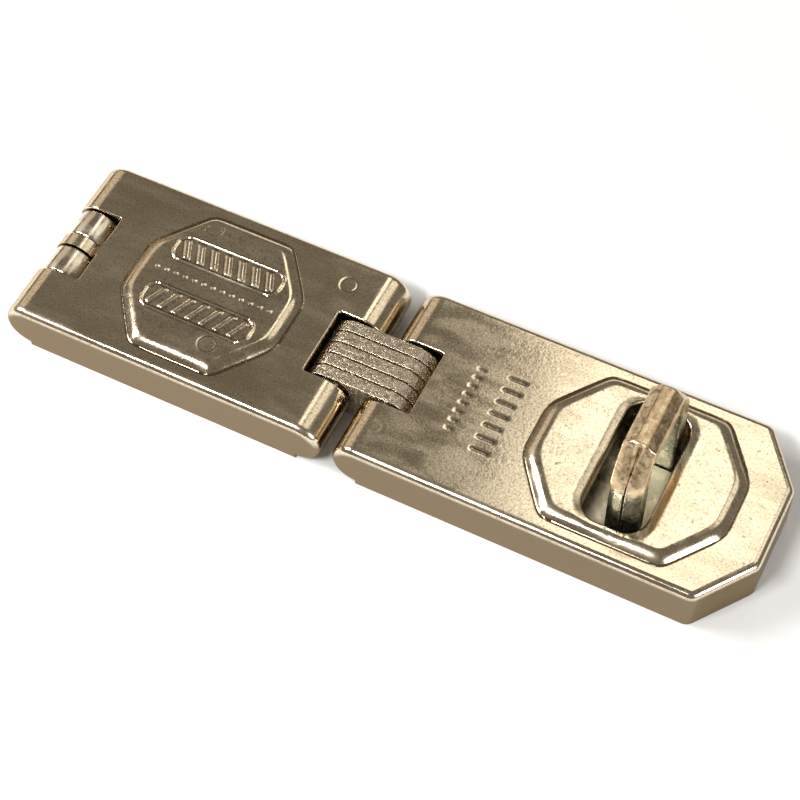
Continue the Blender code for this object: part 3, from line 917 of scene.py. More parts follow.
class NodeBench:
    """Lays out the nodes of one material.

    Args:
        name: The material's name.
    """

    def __init__(self, name: str) -> None:
        self.material = bpy.data.materials.new(name)
        self.material.use_nodes = True
        self.tree = self.material.node_tree
        self.shader = self.tree.nodes["Principled BSDF"]
        self.place = self.add("ShaderNodeTexCoord").outputs["Object"]

    def add(self, kind: str) -> bpy.types.Node:
        """Return a new node of a kind."""
        return self.tree.nodes.new(kind)

    def feed(self, socket: bpy.types.NodeSocket, value: bpy.types.NodeSocket | float | Colour) -> None:
        """Link a socket to another one, or set its number or colour."""
        if isinstance(value, bpy.types.NodeSocket):
            self.tree.links.new(value, socket)
        elif isinstance(value, tuple) and len(socket.default_value) == 4:
            socket.default_value = (*value, 1.0)
        else:
            socket.default_value = value

    def stretched(self, scale: Colour) -> bpy.types.NodeSocket:
        """Return the object coordinates stretched along the axes."""
        node = self.add("ShaderNodeMapping")
        node.inputs["Scale"].default_value = scale
        self.feed(node.inputs["Vector"], self.place)
        return node.outputs["Vector"]

    def noise(self, size: float, detail: float = 3.0, distortion: float = 0.0,
              stretch: Colour = (1.0, 1.0, 1.0)) -> bpy.types.NodeSocket:
        """Noise with features of a given size.

        Args:
            size: Feature size in metres.
            detail: How many finer layers it has.
            distortion: How much it is swirled.
            stretch: Scale along each axis.

        Returns:
            The noise value.
        """
        node = self.add("ShaderNodeTexNoise")
        self.feed(node.inputs["Vector"], self.stretched(stretch))
        node.inputs["Scale"].default_value = 1.0 / size
        node.inputs["Detail"].default_value = detail
        node.inputs["Distortion"].default_value = distortion
        return node.outputs["Fac"]

    def attribute(self, name: str) -> bpy.types.NodeSocket:
        """Return a mesh attribute's value."""
        node = self.add("ShaderNodeAttribute")
        node.attribute_name = name
        return node.outputs["Fac"]

    def height(self) -> bpy.types.NodeSocket:
        """Return the height above the floor."""
        node = self.add("ShaderNodeSeparateXYZ")
        self.feed(node.inputs["Vector"], self.place)
        return node.outputs["Z"]

    def span(self, value: bpy.types.NodeSocket, low: float, high: float, to_low: float = 0.0,
             to_high: float = 1.0) -> bpy.types.NodeSocket:
        """Map a range of a value smoothly to another range.

        Args:
            value: The value.
            low: Where its range starts.
            high: Where its range ends.
            to_low: What the start becomes.
            to_high: What the end becomes.

        Returns:
            The mapped value.
        """
        node = self.add("ShaderNodeMapRange")
        node.interpolation_type = "SMOOTHSTEP"
        for name, number in (("From Min", low), ("From Max", high), ("To Min", to_low), ("To Max", to_high)):
            node.inputs[name].default_value = number
        self.feed(node.inputs["Value"], value)
        return node.outputs["Result"]

    def sum(self, first: bpy.types.NodeSocket | float, second: bpy.types.NodeSocket | float,
            share: float = 1.0) -> bpy.types.NodeSocket:
        """Return first plus share times second."""
        node = self.add("ShaderNodeMath")
        node.operation = "MULTIPLY_ADD"
        self.feed(node.inputs[0], second)
        node.inputs[1].default_value = share
        self.feed(node.inputs[2], first)
        return node.outputs["Value"]

    def ramp(self, value: bpy.types.NodeSocket, stops: Stops) -> bpy.types.NodeSocket:
        """Return a colour that follows a value through stops."""
        node = self.add("ShaderNodeValToRGB")
        for index, (position, colour) in enumerate(stops):
            if index < 2:
                element = node.color_ramp.elements[index]
                element.position = position
            else:
                element = node.color_ramp.elements.new(position)
            element.color = (*colour, 1.0)
        self.feed(node.inputs["Fac"], value)
        return node.outputs["Color"]

    def blend(self, share: bpy.types.NodeSocket | float, first: bpy.types.NodeSocket | Colour,
              second: bpy.types.NodeSocket | Colour) -> bpy.types.NodeSocket:
        """Blend two colours.

        Args:
            share: How much of the second one there is.
            first: The first colour.
            second: The second colour.

        Returns:
            The blended colour.
        """
        node = self.add("ShaderNodeMix")
        node.data_type = "RGBA"
        self.feed(node.inputs[0], share)
        self.feed(node.inputs[6], first)
        self.feed(node.inputs[7], second)
        return node.outputs[2]

    def metal(self, colour: bpy.types.NodeSocket, rough: bpy.types.NodeSocket) -> None:
        """Make the surface metallic, with a colour and a roughness."""
        self.feed(self.shader.inputs["Base Color"], colour)
        self.feed(self.shader.inputs["Metallic"], 1.0)
        self.feed(self.shader.inputs["Roughness"], rough)

    def relief(self, height: bpy.types.NodeSocket, depth: float) -> None:
        """Bump the surface by a height whose full range is depth metres."""
        node = self.add("ShaderNodeBump")
        node.inputs["Strength"].default_value = 1.0
        node.inputs["Distance"].default_value = depth
        self.feed(node.inputs["Height"], height)
        self.feed(self.shader.inputs["Normal"], node.outputs["Normal"])


@dataclass(frozen=True)
class PlatedSheet:
    """Bright warm plating on pressed sheet, with faint stains, fine peel, rubbed edges, painted glints, and painted
    shade in its creases and on its side walls and undersides.
    """

    name: str = "plated_sheet"
    light: Colour = (0.88, 0.76, 0.57)
    warm: Colour = (0.70, 0.58, 0.41)
    # Real stains in the grain and specks, and painted shade in the creases.
    stain_and_crease_shade: Colour = (0.30, 0.23, 0.15)
    # Painted shade: a darker colour for the side walls and undersides, standing in for the shade they get.
    wall: Colour = (0.25, 0.20, 0.14)
    rubbed: Colour = (0.95, 0.86, 0.70)
    # Painted glints: near-white flecks on the grain.
    painted_glint: Colour = (0.98, 0.92, 0.80)
    glancing: Colour = (0.75, 0.66, 0.55)
    rough: float = 0.15
    depth: float = 0.012 * MM

    def material(self) -> bpy.types.Material:
        """Return the finish as a material."""
        bench = NodeBench(self.name)
        clouds = bench.noise(22 * MM, 4.0, 0.6)
        fine = bench.noise(0.9 * MM, 3.0)
        streaks = bench.noise(3.0 * MM, 3.0, 0.4, (0.35, 1.0, 1.0))
        colour = bench.ramp(bench.sum(clouds, streaks, 0.25), [(0.30, self.warm), (0.85, self.light)])
        curvature = bench.attribute("edge")
        # Painted shade: grooves and creases are darkened with this colour; the grain and specks below use it as
        # real stain.
        colour = bench.blend(bench.span(curvature, 0.46, 0.30), colour, self.stain_and_crease_shade)
        colour = bench.blend(bench.span(curvature, 0.56, 0.80, 0.0, 0.6), colour, self.rubbed)
        grain = bench.noise(0.42 * MM, 4.0)
        colour = bench.blend(bench.span(grain, 0.50, 0.30, 0.0, 0.55), colour, self.stain_and_crease_shade)
        # Painted glints: the brightest grain is turned near white.
        colour = bench.blend(bench.span(grain, 0.56, 0.72, 0.0, 0.75), colour, self.painted_glint)
        specks = bench.span(bench.noise(1.3 * MM, 5.0), 0.64, 0.72, 0.0, 0.5)
        colour = bench.blend(specks, colour, self.stain_and_crease_shade)
        # Painted shade: the walls and undersides are darkened where the "wall" attribute is high.
        colour = bench.blend(bench.attribute("wall"), colour, self.wall)
        bench.feed(bench.shader.inputs["Specular Tint"], self.glancing)
        rough = bench.sum(bench.span(streaks, 0.3, 0.7, self.rough - 0.04, self.rough + 0.07), specks, 0.2)
        bench.metal(colour, rough)
        bench.relief(bench.sum(bench.sum(fine, grain, 0.5), specks, -0.5), self.depth)
        return bench.material


@dataclass(frozen=True)
class MottledSteel:
    """Rough cut or cast steel under plating: light and dark blotches that sparkle."""

    name: str
    light: Colour
    mid: Colour
    dark: Colour
    grain: float
    depth: float
    rough: float

    def material(self) -> bpy.types.Material:
        """Return the finish as a material."""
        bench = NodeBench(self.name)
        blotch = bench.noise(self.grain * 2.6, 4.0, 0.8)
        fine = bench.noise(self.grain, 5.0, 0.3)
        colour = bench.ramp(bench.sum(blotch, fine, 0.5),
                            [(0.52, self.dark), (0.98, self.light), (0.74, self.mid)])
        bench.metal(colour, bench.span(fine, 0.3, 0.7, self.rough - 0.07, self.rough + 0.12))
        bench.relief(bench.sum(blotch, fine, 0.8), self.depth)
        return bench.material


@dataclass(frozen=True)
class StapleBronze:
    """Bronze plating on the staple's upper part that breaks into grey zinc low on its legs, with painted shade
    darkening its seam and creases.
    """

    name: str = "staple_bronze"
    light: Colour = (0.92, 0.74, 0.48)
    mid: Colour = (0.62, 0.46, 0.28)
    dark: Colour = (0.26, 0.17, 0.10)
    zinc: Colour = (0.42, 0.42, 0.34)
    zinc_dark: Colour = (0.20, 0.20, 0.15)
    rubbed: Colour = (0.80, 0.72, 0.58)
    # Painted shade: near-black colour for the seam and creases.
    painted_crease_shade: Colour = (0.07, 0.06, 0.03)
    break_low: float = 19.5 * MM
    break_high: float = 22.5 * MM
    break_wander: float = 5.0 * MM
    depth: float = 0.07 * MM

    def material(self) -> bpy.types.Material:
        """Return the finish as a material."""
        bench = NodeBench(self.name)
        blotch = bench.noise(2.6 * MM, 5.0, 1.2)
        fine = bench.noise(0.7 * MM, 4.0)
        mottle = bench.sum(blotch, fine, 0.35)
        bronze = bench.ramp(mottle, [(0.42, self.dark), (0.86, self.light), (0.62, self.mid)])
        zinc = bench.ramp(mottle, [(0.45, self.zinc_dark), (0.85, self.zinc)])
        height, lift = bench.sum(bench.height(), blotch, self.break_wander), self.break_wander / 2
        share = bench.span(height, self.break_low + lift, self.break_high + lift)
        colour = bench.blend(share, zinc, bronze)
        curvature = bench.attribute("edge")
        colour = bench.blend(bench.span(curvature, 0.55, 0.75, 0.0, 0.75), colour, self.rubbed)
        # Painted shade: the seam and creases are darkened almost to black.
        colour = bench.blend(bench.span(curvature, 0.45, 0.25, 0.0, 0.9), colour, self.painted_crease_shade)
        bench.metal(colour, bench.span(fine, 0.3, 0.7, 0.24, 0.42))
        bench.relief(mottle, self.depth)
        return bench.material


@dataclass(frozen=True)
class StudioFloor:
    """Matt pale floor."""

    name: str = "studio_floor"

    def material(self) -> bpy.types.Material:
        """Return the finish as a material."""
        bench = NodeBench(self.name)
        colour = bench.ramp(bench.noise(300 * MM, 2.0), [(0.3, (0.86, 0.86, 0.86)), (0.7, (0.90, 0.90, 0.89))])
        bench.feed(bench.shader.inputs["Base Color"], colour)
        bench.shader.inputs["Roughness"].default_value = 0.9
        return bench.material


def steel(name: str, light: Colour, mid: Colour, dark: Colour, grain: float, depth: float,
          rough: float) -> bpy.types.Material:
    """Return a field whose value is a mottled steel, made when the finishes are."""
    return field(default_factory=lambda: MottledSteel(name, light, mid, dark, grain, depth, rough).material())


@dataclass(frozen=True)
class Finishes:
    """Every finish as a material."""

    sheet: bpy.types.Material = field(default_factory=lambda: PlatedSheet().material())
    staple: bpy.types.Material = field(default_factory=lambda: StapleBronze().material())
    link: bpy.types.Material = steel("cut_link_steel", (0.98, 0.88, 0.70), (0.66, 0.55, 0.42), (0.36, 0.29, 0.21),
                                     0.30 * MM, 0.15 * MM, 0.22)
    plate: bpy.types.Material = steel("zinc_plate", (0.84, 0.76, 0.58), (0.66, 0.60, 0.46), (0.40, 0.38, 0.30),
                                      1.4 * MM, 0.06 * MM, 0.34)
    barrel: bpy.types.Material = steel("rolled_barrel", (0.94, 0.87, 0.72), (0.86, 0.77, 0.62), (0.64, 0.54, 0.41),
                                       1.8 * MM, 0.02 * MM, 0.17)
    pin: bpy.types.Material = steel("turned_pin", (0.72, 0.72, 0.70), (0.60, 0.60, 0.58), (0.42, 0.42, 0.40),
                                    1.1 * MM, 0.02 * MM, 0.22)


def dress(obj: bpy.types.Object, material: bpy.types.Material) -> None:
    """Give an object one material."""
    obj.data.materials.clear()
    obj.data.materials.append(material)


def store(obj: bpy.types.Object, name: str, values: list[float]) -> None:
    """Store one number per vertex as a mesh attribute."""
    obj.data.attributes.new(name, "FLOAT", "POINT").data.foreach_set("value", values)


def mark_wall_shade(obj: bpy.types.Object, start: float = 0.42, blend: float = 0.36) -> None:
    """Store how far the surface turns away from upwards as "wall": 1 on the side walls and below, where the sheet's
    colour is darkened as painted shade.

    Args:
        obj: The object.
        start: Upward share of the normal below which the wall begins.
        blend: Further fall of that share over which it becomes full.
    """
    store(obj, "wall", [smooth((start - v.normal.z) / blend) for v in obj.data.vertices])


def mark_edges(obj: bpy.types.Object, reach: float) -> None:
    """Store how sharply the surface bends as "edge": 0.5 flat, more on ridges, less in grooves.

    Args:
        obj: The object.
        reach: Bend radius that counts as a full ridge or groove.
    """
    bm = bmesh.new()
    bm.from_mesh(obj.data)
    bm.normal_update()
    values = []
    for vert in bm.verts:
        bend, weight = 0.0, 0.0
        for edge in vert.link_edges:
            span = edge.other_vert(vert).co - vert.co
            length = max(span.length, 0.02 * MM)
            bend -= 2.0 * vert.normal.dot(span) / length
            weight += length
        values.append(bend / weight * reach if weight else 0.0)
    for _ in range(2):
        values = [0.5 * values[v.index] + 0.5 * sum(values[e.other_vert(v).index] for e in v.link_edges)
                  / max(len(v.link_edges), 1) for v in bm.verts]
    bm.free()
    store(obj, "edge", [clamp(0.5 + 0.5 * value) for value in values])


# ---------------------------------------------------------------------------------------------
# Sub-assemblies
# ---------------------------------------------------------------------------------------------


@dataclass
class Part:
    """What every sub-assembly shares."""

    sizes: Sizes
    finishes: Finishes

    def hand_over(self, obj: bpy.types.Object, body: Body, node: str, slot: str,
                  material: bpy.types.Material) -> bpy.types.Object:
        """Dress a finished piece and hang it on its body in place of its CAD node.

        Args:
            obj: The piece.
            body: The body it rides on.
            node: The CAD node it stands for.
            slot: Name of a material slot; not used.
            material: Its finish.

        Returns:
            The piece.
        """
        dress(obj, material)
        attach(obj, body.value)
        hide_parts(node)
        LOG.info("%s: %d triangles", obj.name, sum(len(p.vertices) - 2 for p in obj.data.polygons))
        return obj

    def keep_node(self, node: str, material: bpy.types.Material) -> None:
        """Give a carried-over CAD node its finish."""
        dress(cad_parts[node], material)
        LOG.info("%s: kept", node)


@dataclass
class Leaf(Part):
    """What both leaves share: hollow, bores and openings."""

    rim: float = 0.35 * MM
    below_rim: float = 0.5 * MM
    link_room: float = 0.0
    opened_share: float = 0.86
    slot_corner: float = 0.5 * MM
    recess_margin: float = 0.6
    recess_slope: float = 1.4 * MM
    recess_corner: float = 1.2 * MM
    roll_slices: int = 40
    hollow_steps: int = 24
    sharp_deg: float = 32.0
    edge_reach: float = 0.9 * MM
    inner_half: float = field(init=False)
    ceiling: float = field(init=False)

    def __post_init__(self) -> None:
        self.inner_half = self.sizes.half_width - self.sizes.sheet
        self.ceiling = self.sizes.depth - self.sizes.sheet

    def hollow_outline(self, left: float, right: float, right_is_roll: bool) -> list[Point]:
        """Side view of the hollow between the rolls.

        Args:
            left: Centre of the left roll.
            right: Centre of the right roll, or the tip wall's inside.
            right_is_roll: Whether there is a roll on the right.

        Returns:
            The outline as x and z.
        """
        roll = self.sizes.roll
        meet = math.degrees(math.asin((self.ceiling - roll) / roll))
        points = arc((left, roll), roll, -80, meet, self.hollow_steps)
        points.insert(0, (points[0][0], -MM))
        if right_is_roll:
            points += arc((right, roll), roll, 180 - meet, 260, self.hollow_steps)
            points.append((points[-1][0], -MM))
        else:
            points += [(right, self.ceiling), (right, -MM)]
        return points

    def bore(self, leaf: bpy.types.Object, x: float) -> None:
        """Bore a roll for its pin."""
        combine(leaf, rod(Vector((x, 0, self.sizes.roll)), self.sizes.bore, 2 * self.inner_half), Solver.CUT)

    def open_roll(self, leaf: bpy.types.Object, sheet: SheetMap, pin_x: float, closed: float, half: float,
                  middle: float = 0.0, steps: int = 6) -> None:
        """Open a roll from its underside up to a closed end on the flat, with a rounded rim.

        Args:
            leaf: The leaf.
            sheet: Its sheet map.
            pin_x: The pin's place.
            closed: Where the slot's closed end lies.
            half: Half the slot's width.
            middle: Its middle across the leaf.
            steps: Segments in each of its corners.
        """
        side, roll = (1 if closed > pin_x else -1), self.sizes.roll
        over_roll = math.pi * roll * self.opened_share
        slices = [pin_x - side * over_roll * i / self.roll_slices for i in range(self.roll_slices)]
        outline, throat = (
            [(x, y + middle) for x, y in rounded_outline(
                rectangle(*sorted((closed, pin_x - side * reach)), half), self.slot_corner, steps)]
            for reach in (over_roll, roll + 4 * MM))
        opening = FlaredOpening(outline, self.rim, self.rim + self.below_rim, slices)
        combine(leaf, opening.tool(sheet, 0.0), Solver.CUT)
        combine(leaf, plan_prism(throat, -MM, self.sizes.depth + MM), Solver.CUT)

    def open_link_slot(self, leaf: bpy.types.Object, sheet: SheetMap, pin_x: float, side: int) -> None:
        """Open a roll for the link and clear the room below it.

        Args:
            leaf: The leaf.
            sheet: Its sheet map.
            pin_x: The pin's place.
            side: 1 if the slot's closed end lies towards +X, else -1.
        """
        sizes, half = self.sizes, self.sizes.link_slot_half
        self.open_roll(leaf, sheet, pin_x, pin_x + side * (sizes.link_reach + self.link_room), half)
        low, high = sorted((pin_x + side * (sizes.roll + 0.3 * MM), pin_x - side * (sizes.roll + MM)))
        combine(leaf, plan_prism(rectangle(low, high, half), -MM, self.ceiling), Solver.CUT)

    def recess(self, leaf: bpy.types.Object, outline: list[Point]) -> None:
        """Hollow a raised octagon from below."""
        foot = self.sizes.sheet * self.recess_margin
        levels = ((foot, self.ceiling - MM), (foot, self.ceiling),
                  (foot + self.recess_slope, self.ceiling + self.sizes.emboss_height))
        combine(leaf, loft_rings([(rounded_outline(inset_outline(outline, inset), self.recess_corner, 6), z)
                                  for inset, z in levels]), Solver.CUT)

    def finish(self, leaf: bpy.types.Object, body: Body, node: str, plates: tuple[str, ...], pin: str) -> None:
        """Mark and hand over a cut leaf, and dress the nodes that stay inside it.

        Args:
            leaf: The leaf.
            body: The body it rides on.
            node: The CAD node it stands for.
            plates: CAD nodes welded inside it.
            pin: CAD node of its link pin.
        """
        shade(leaf, self.sharp_deg)
        mark_edges(leaf, self.edge_reach)
        mark_wall_shade(leaf)
        self.hand_over(leaf, body, node, "leaf_steel", self.finishes.sheet)
        for plate in plates:
            self.keep_node(plate, self.finishes.plate)
        self.keep_node(pin, self.finishes.pin)


@dataclass
class FirstLeaf(Leaf):
    """Leaf between the hinge and the link, with its backing, roll stop and pin."""

    def reliefs(self) -> list[Relief]:
        """Return everything pressed into the leaf."""
        start, ring_depth = self.sizes.left, 0.10 * MM
        middle = start + 36.3 * MM
        return [
            RaisedPlateau(self.sizes.first_octagon(), self.sizes.emboss_height, self.sizes.emboss_slope),
            RibPanel(middle, 6.6 * MM, 12.2 * MM, 3.3 * MM, 0.27 * MM, 3.1 * MM, 0.45),
            RibPanel(middle, -5.9 * MM, 12.2 * MM, 3.3 * MM, 0.27 * MM, 3.1 * MM, -0.45),
            DashRow(middle, 0.5 * MM, 13, 2.1 * MM, 0.0, 0.5 * MM, 0.5 * MM, 0.2 * MM),
            RoundKnuckle(self.sizes.hinge_x, self.sizes.middle_half + 0.3 * MM, self.sizes.roll - 0.45 * MM,
                         self.sizes.knuckle_cut),
            WeldRing(start + 29.4 * MM, 13.6 * MM, 1.7 * MM, ring_depth),
            WeldRing(start + 41.8 * MM, -11.5 * MM, 1.8 * MM, ring_depth),
            WeldRing(start + 59.5 * MM, 14.0 * MM, 1.7 * MM, ring_depth),
            Waviness(0.02 * MM, 11 * MM, 3.1),
        ]

    def build(self) -> None:
        """Build the leaf and dress what belongs to it."""
        sizes = self.sizes
        sheet = SheetMap(sizes, sizes.left, sizes.first_end, False)
        leaf = new_piece("first_leaf_sheet", LeafSkin(sizes, sheet, self.reliefs()).build())
        hollow = self.hollow_outline(sizes.hinge_x, sizes.link_a_x, True)
        combine(leaf, side_prism(hollow, -self.inner_half, self.inner_half), Solver.CUT)
        self.recess(leaf, sizes.first_octagon())
        half = (sizes.knuckle_half - sizes.middle_half) / 2
        for side in (-1, 1):
            middle = side * (sizes.middle_half + sizes.knuckle_half) / 2
            self.open_roll(leaf, sheet, sizes.hinge_x, sizes.hinge_x + sizes.knuckle_cut, half, middle, 4)
        self.open_link_slot(leaf, sheet, sizes.link_a_x, -1)
        self.bore(leaf, sizes.hinge_x)
        self.bore(leaf, sizes.link_a_x)
        self.finish(leaf, Body.FIRST, "first_leaf", ("first_backing", "roll_stop_a"), "link_pin_a")


@dataclass
class SecondLeaf(Leaf):
    """Leaf between the link and the tip, with its backing, roll stop and pin."""

    link_room: float = 0.7 * MM
    slot_rim: float = 0.6 * MM
    slot_margin: float = 0.8 * MM
    collar_wall: float = 1.2 * MM
    collar_height: float = 4.2 * MM

    def dish(self) -> Dish:
        """Return the shallow dish round the staple's slot."""
        sizes = self.sizes
        return Dish(sizes.slot_x, sizes.slot_half_x, sizes.slot_half_y, sizes.slot_radius, 0.35 * MM, 3.0 * MM)

    def reliefs(self) -> list[Relief]:
        """Return everything pressed into the leaf."""
        start = self.sizes.left
        return [
            RaisedPlateau(self.sizes.second_octagon(), self.sizes.emboss_height, self.sizes.emboss_slope),
            self.dish(),
            DashRow(start + 99.0 * MM, -0.6 * MM, 7, 0.0, 2.9 * MM, 2.1 * MM, 0.5 * MM, -0.14 * MM),
            DashRow(start + 91.7 * MM, 0.1 * MM, 8, 0.0, 2.1 * MM, 1.0 * MM, 0.4 * MM, -0.11 * MM),
            WeldRing(start + 79.2 * MM, -13.1 * MM, 1.3 * MM, 0.03 * MM),
            WeldRing(start + 129.2 * MM, -14.9 * MM, 1.6 * MM, 0.04 * MM),
            Waviness(0.02 * MM, 11 * MM, 7.7),
        ]

    def slot_outline(self, margin: float) -> list[Point]:
        """Return the staple slot's outline, grown by a margin."""
        sizes = self.sizes
        margin += self.slot_margin
        box = rectangle(sizes.slot_x - sizes.slot_half_x - margin, sizes.slot_x + sizes.slot_half_x + margin,
                        sizes.slot_half_y + margin)
        return rounded_outline(box, sizes.slot_radius + margin, 12)

    def build(self) -> None:
        """Build the leaf and dress what belongs to it."""
        sizes = self.sizes
        sheet = SheetMap(sizes, sizes.second_start, sizes.tip, True)
        leaf = new_piece("second_leaf_sheet", LeafSkin(sizes, sheet, self.reliefs()).build())
        combine(leaf, self.hollow(), Solver.CUT)
        self.recess(leaf, sizes.second_octagon())
        collar = self.slot_outline(self.collar_wall)
        combine(leaf, loft_rings([(collar, sizes.top - self.collar_height), (collar, sizes.top - sizes.sheet / 2)]),
                Solver.JOIN)
        combine(leaf, plan_prism(self.slot_outline(0.0), self.ceiling - sizes.roll, sizes.top + MM), Solver.CUT)
        opening = FlaredOpening(self.slot_outline(0.0), self.slot_rim, self.slot_rim + self.below_rim)
        rim_height = sizes.emboss_height + self.dish().fall(self.slot_rim)
        combine(leaf, opening.tool(sheet, rim_height), Solver.CUT)
        self.open_link_slot(leaf, sheet, sizes.link_b_x, 1)
        self.bore(leaf, sizes.link_b_x)
        self.finish(leaf, Body.SECOND, "second_leaf", ("second_backing", "roll_stop_b"), "link_pin_b")

    def hollow(self) -> bmesh.types.BMesh:
        """Return the solid that hollows the leaf, its tip cut like the leaf's."""
        sizes = self.sizes
        outline = self.hollow_outline(sizes.link_b_x, sizes.tip - sizes.sheet, False)
        bm = side_prism(outline, -self.inner_half, self.inner_half)
        for side in (-1, 1):
            normal = Vector((sizes.tip_cut_y, side * sizes.tip_cut_x, 0)).normalized()
            place = Vector((sizes.tip - sizes.tip_cut_x, side * sizes.half_width, 0)) - normal * sizes.sheet
            bmesh.ops.bisect_plane(bm, geom=everything(bm), plane_co=place, plane_no=normal, clear_outer=True)
            fill_holes(bm)
        return bm


@dataclass
class Link(Part):
    """Five round-ended plates side by side on the two link pins."""

    plates: int = 5
    radius: float = 5.0 * MM
    rim: float = 0.14 * MM
    burr: float = 0.07 * MM
    burr_size: float = 0.9 * MM
    end_steps: int = 48
    side_steps: int = 28
    sharp_deg: float = 50.0

    def outline(self, radius: float) -> list[Point]:
        """Return a plate's side view as x and z."""
        a, b, z = self.sizes.link_a_x, self.sizes.link_b_x, self.sizes.roll
        steps = self.side_steps
        points = arc((b, z), radius, -90, 90, self.end_steps)
        points += [(b + (a - b) * i / steps, z + radius) for i in range(1, steps)]
        points += arc((a, z), radius, 90, 270, self.end_steps)
        points += [(a + (b - a) * i / steps, z - radius) for i in range(1, steps)]
        return points

    def plate(self, index: int) -> bpy.types.Object:
        """Return one plate, its rims rounded and its cut face rough."""
        low, high = (corner.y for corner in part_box(f"link_plate_{index + 1}"))
        turn = quarter_turn(self.rim, 6)
        levels = [(inset, low + depth) for inset, depth in turn]
        levels += [(0.0, low + self.rim + (high - low - 2 * self.rim) * i / 8) for i in range(1, 8)]
        levels += [(inset, high - depth) for inset, depth in reversed(turn)]
        bm = loft_rings([(self.outline(self.radius - inset), y) for inset, y in levels])
        middle = (high + low) / 2
        for vert in bm.verts:
            x, z, y = vert.co
            inner = max(abs(y - middle) - (high - low) / 2 + self.rim, 0.0)
            rough = noise.noise(Vector((x, y * 0.8, z)) / self.burr_size) * self.burr
            away = Vector((x - clamp(x, self.sizes.link_a_x, self.sizes.link_b_x), 0, z - self.sizes.roll))
            vert.co = Vector((x, y, z)) - away.normalized() * abs(rough) * (1 if inner < self.rim * 0.9 else 0)
        plate = new_piece(f"link_plate_{index + 1}_cut", bm, self.sharp_deg)
        for x in (self.sizes.link_a_x, self.sizes.link_b_x):
            combine(plate, rod(Vector((x, middle, self.sizes.roll)), self.sizes.bore, 4 * MM), Solver.CUT)
        shade(plate, self.sharp_deg)
        return plate

    def build(self) -> None:
        """Build the plates."""
        for index in range(self.plates):
            self.hand_over(self.plate(index), Body.LINK, f"link_plate_{index + 1}", "link_steel",
                           self.finishes.link)


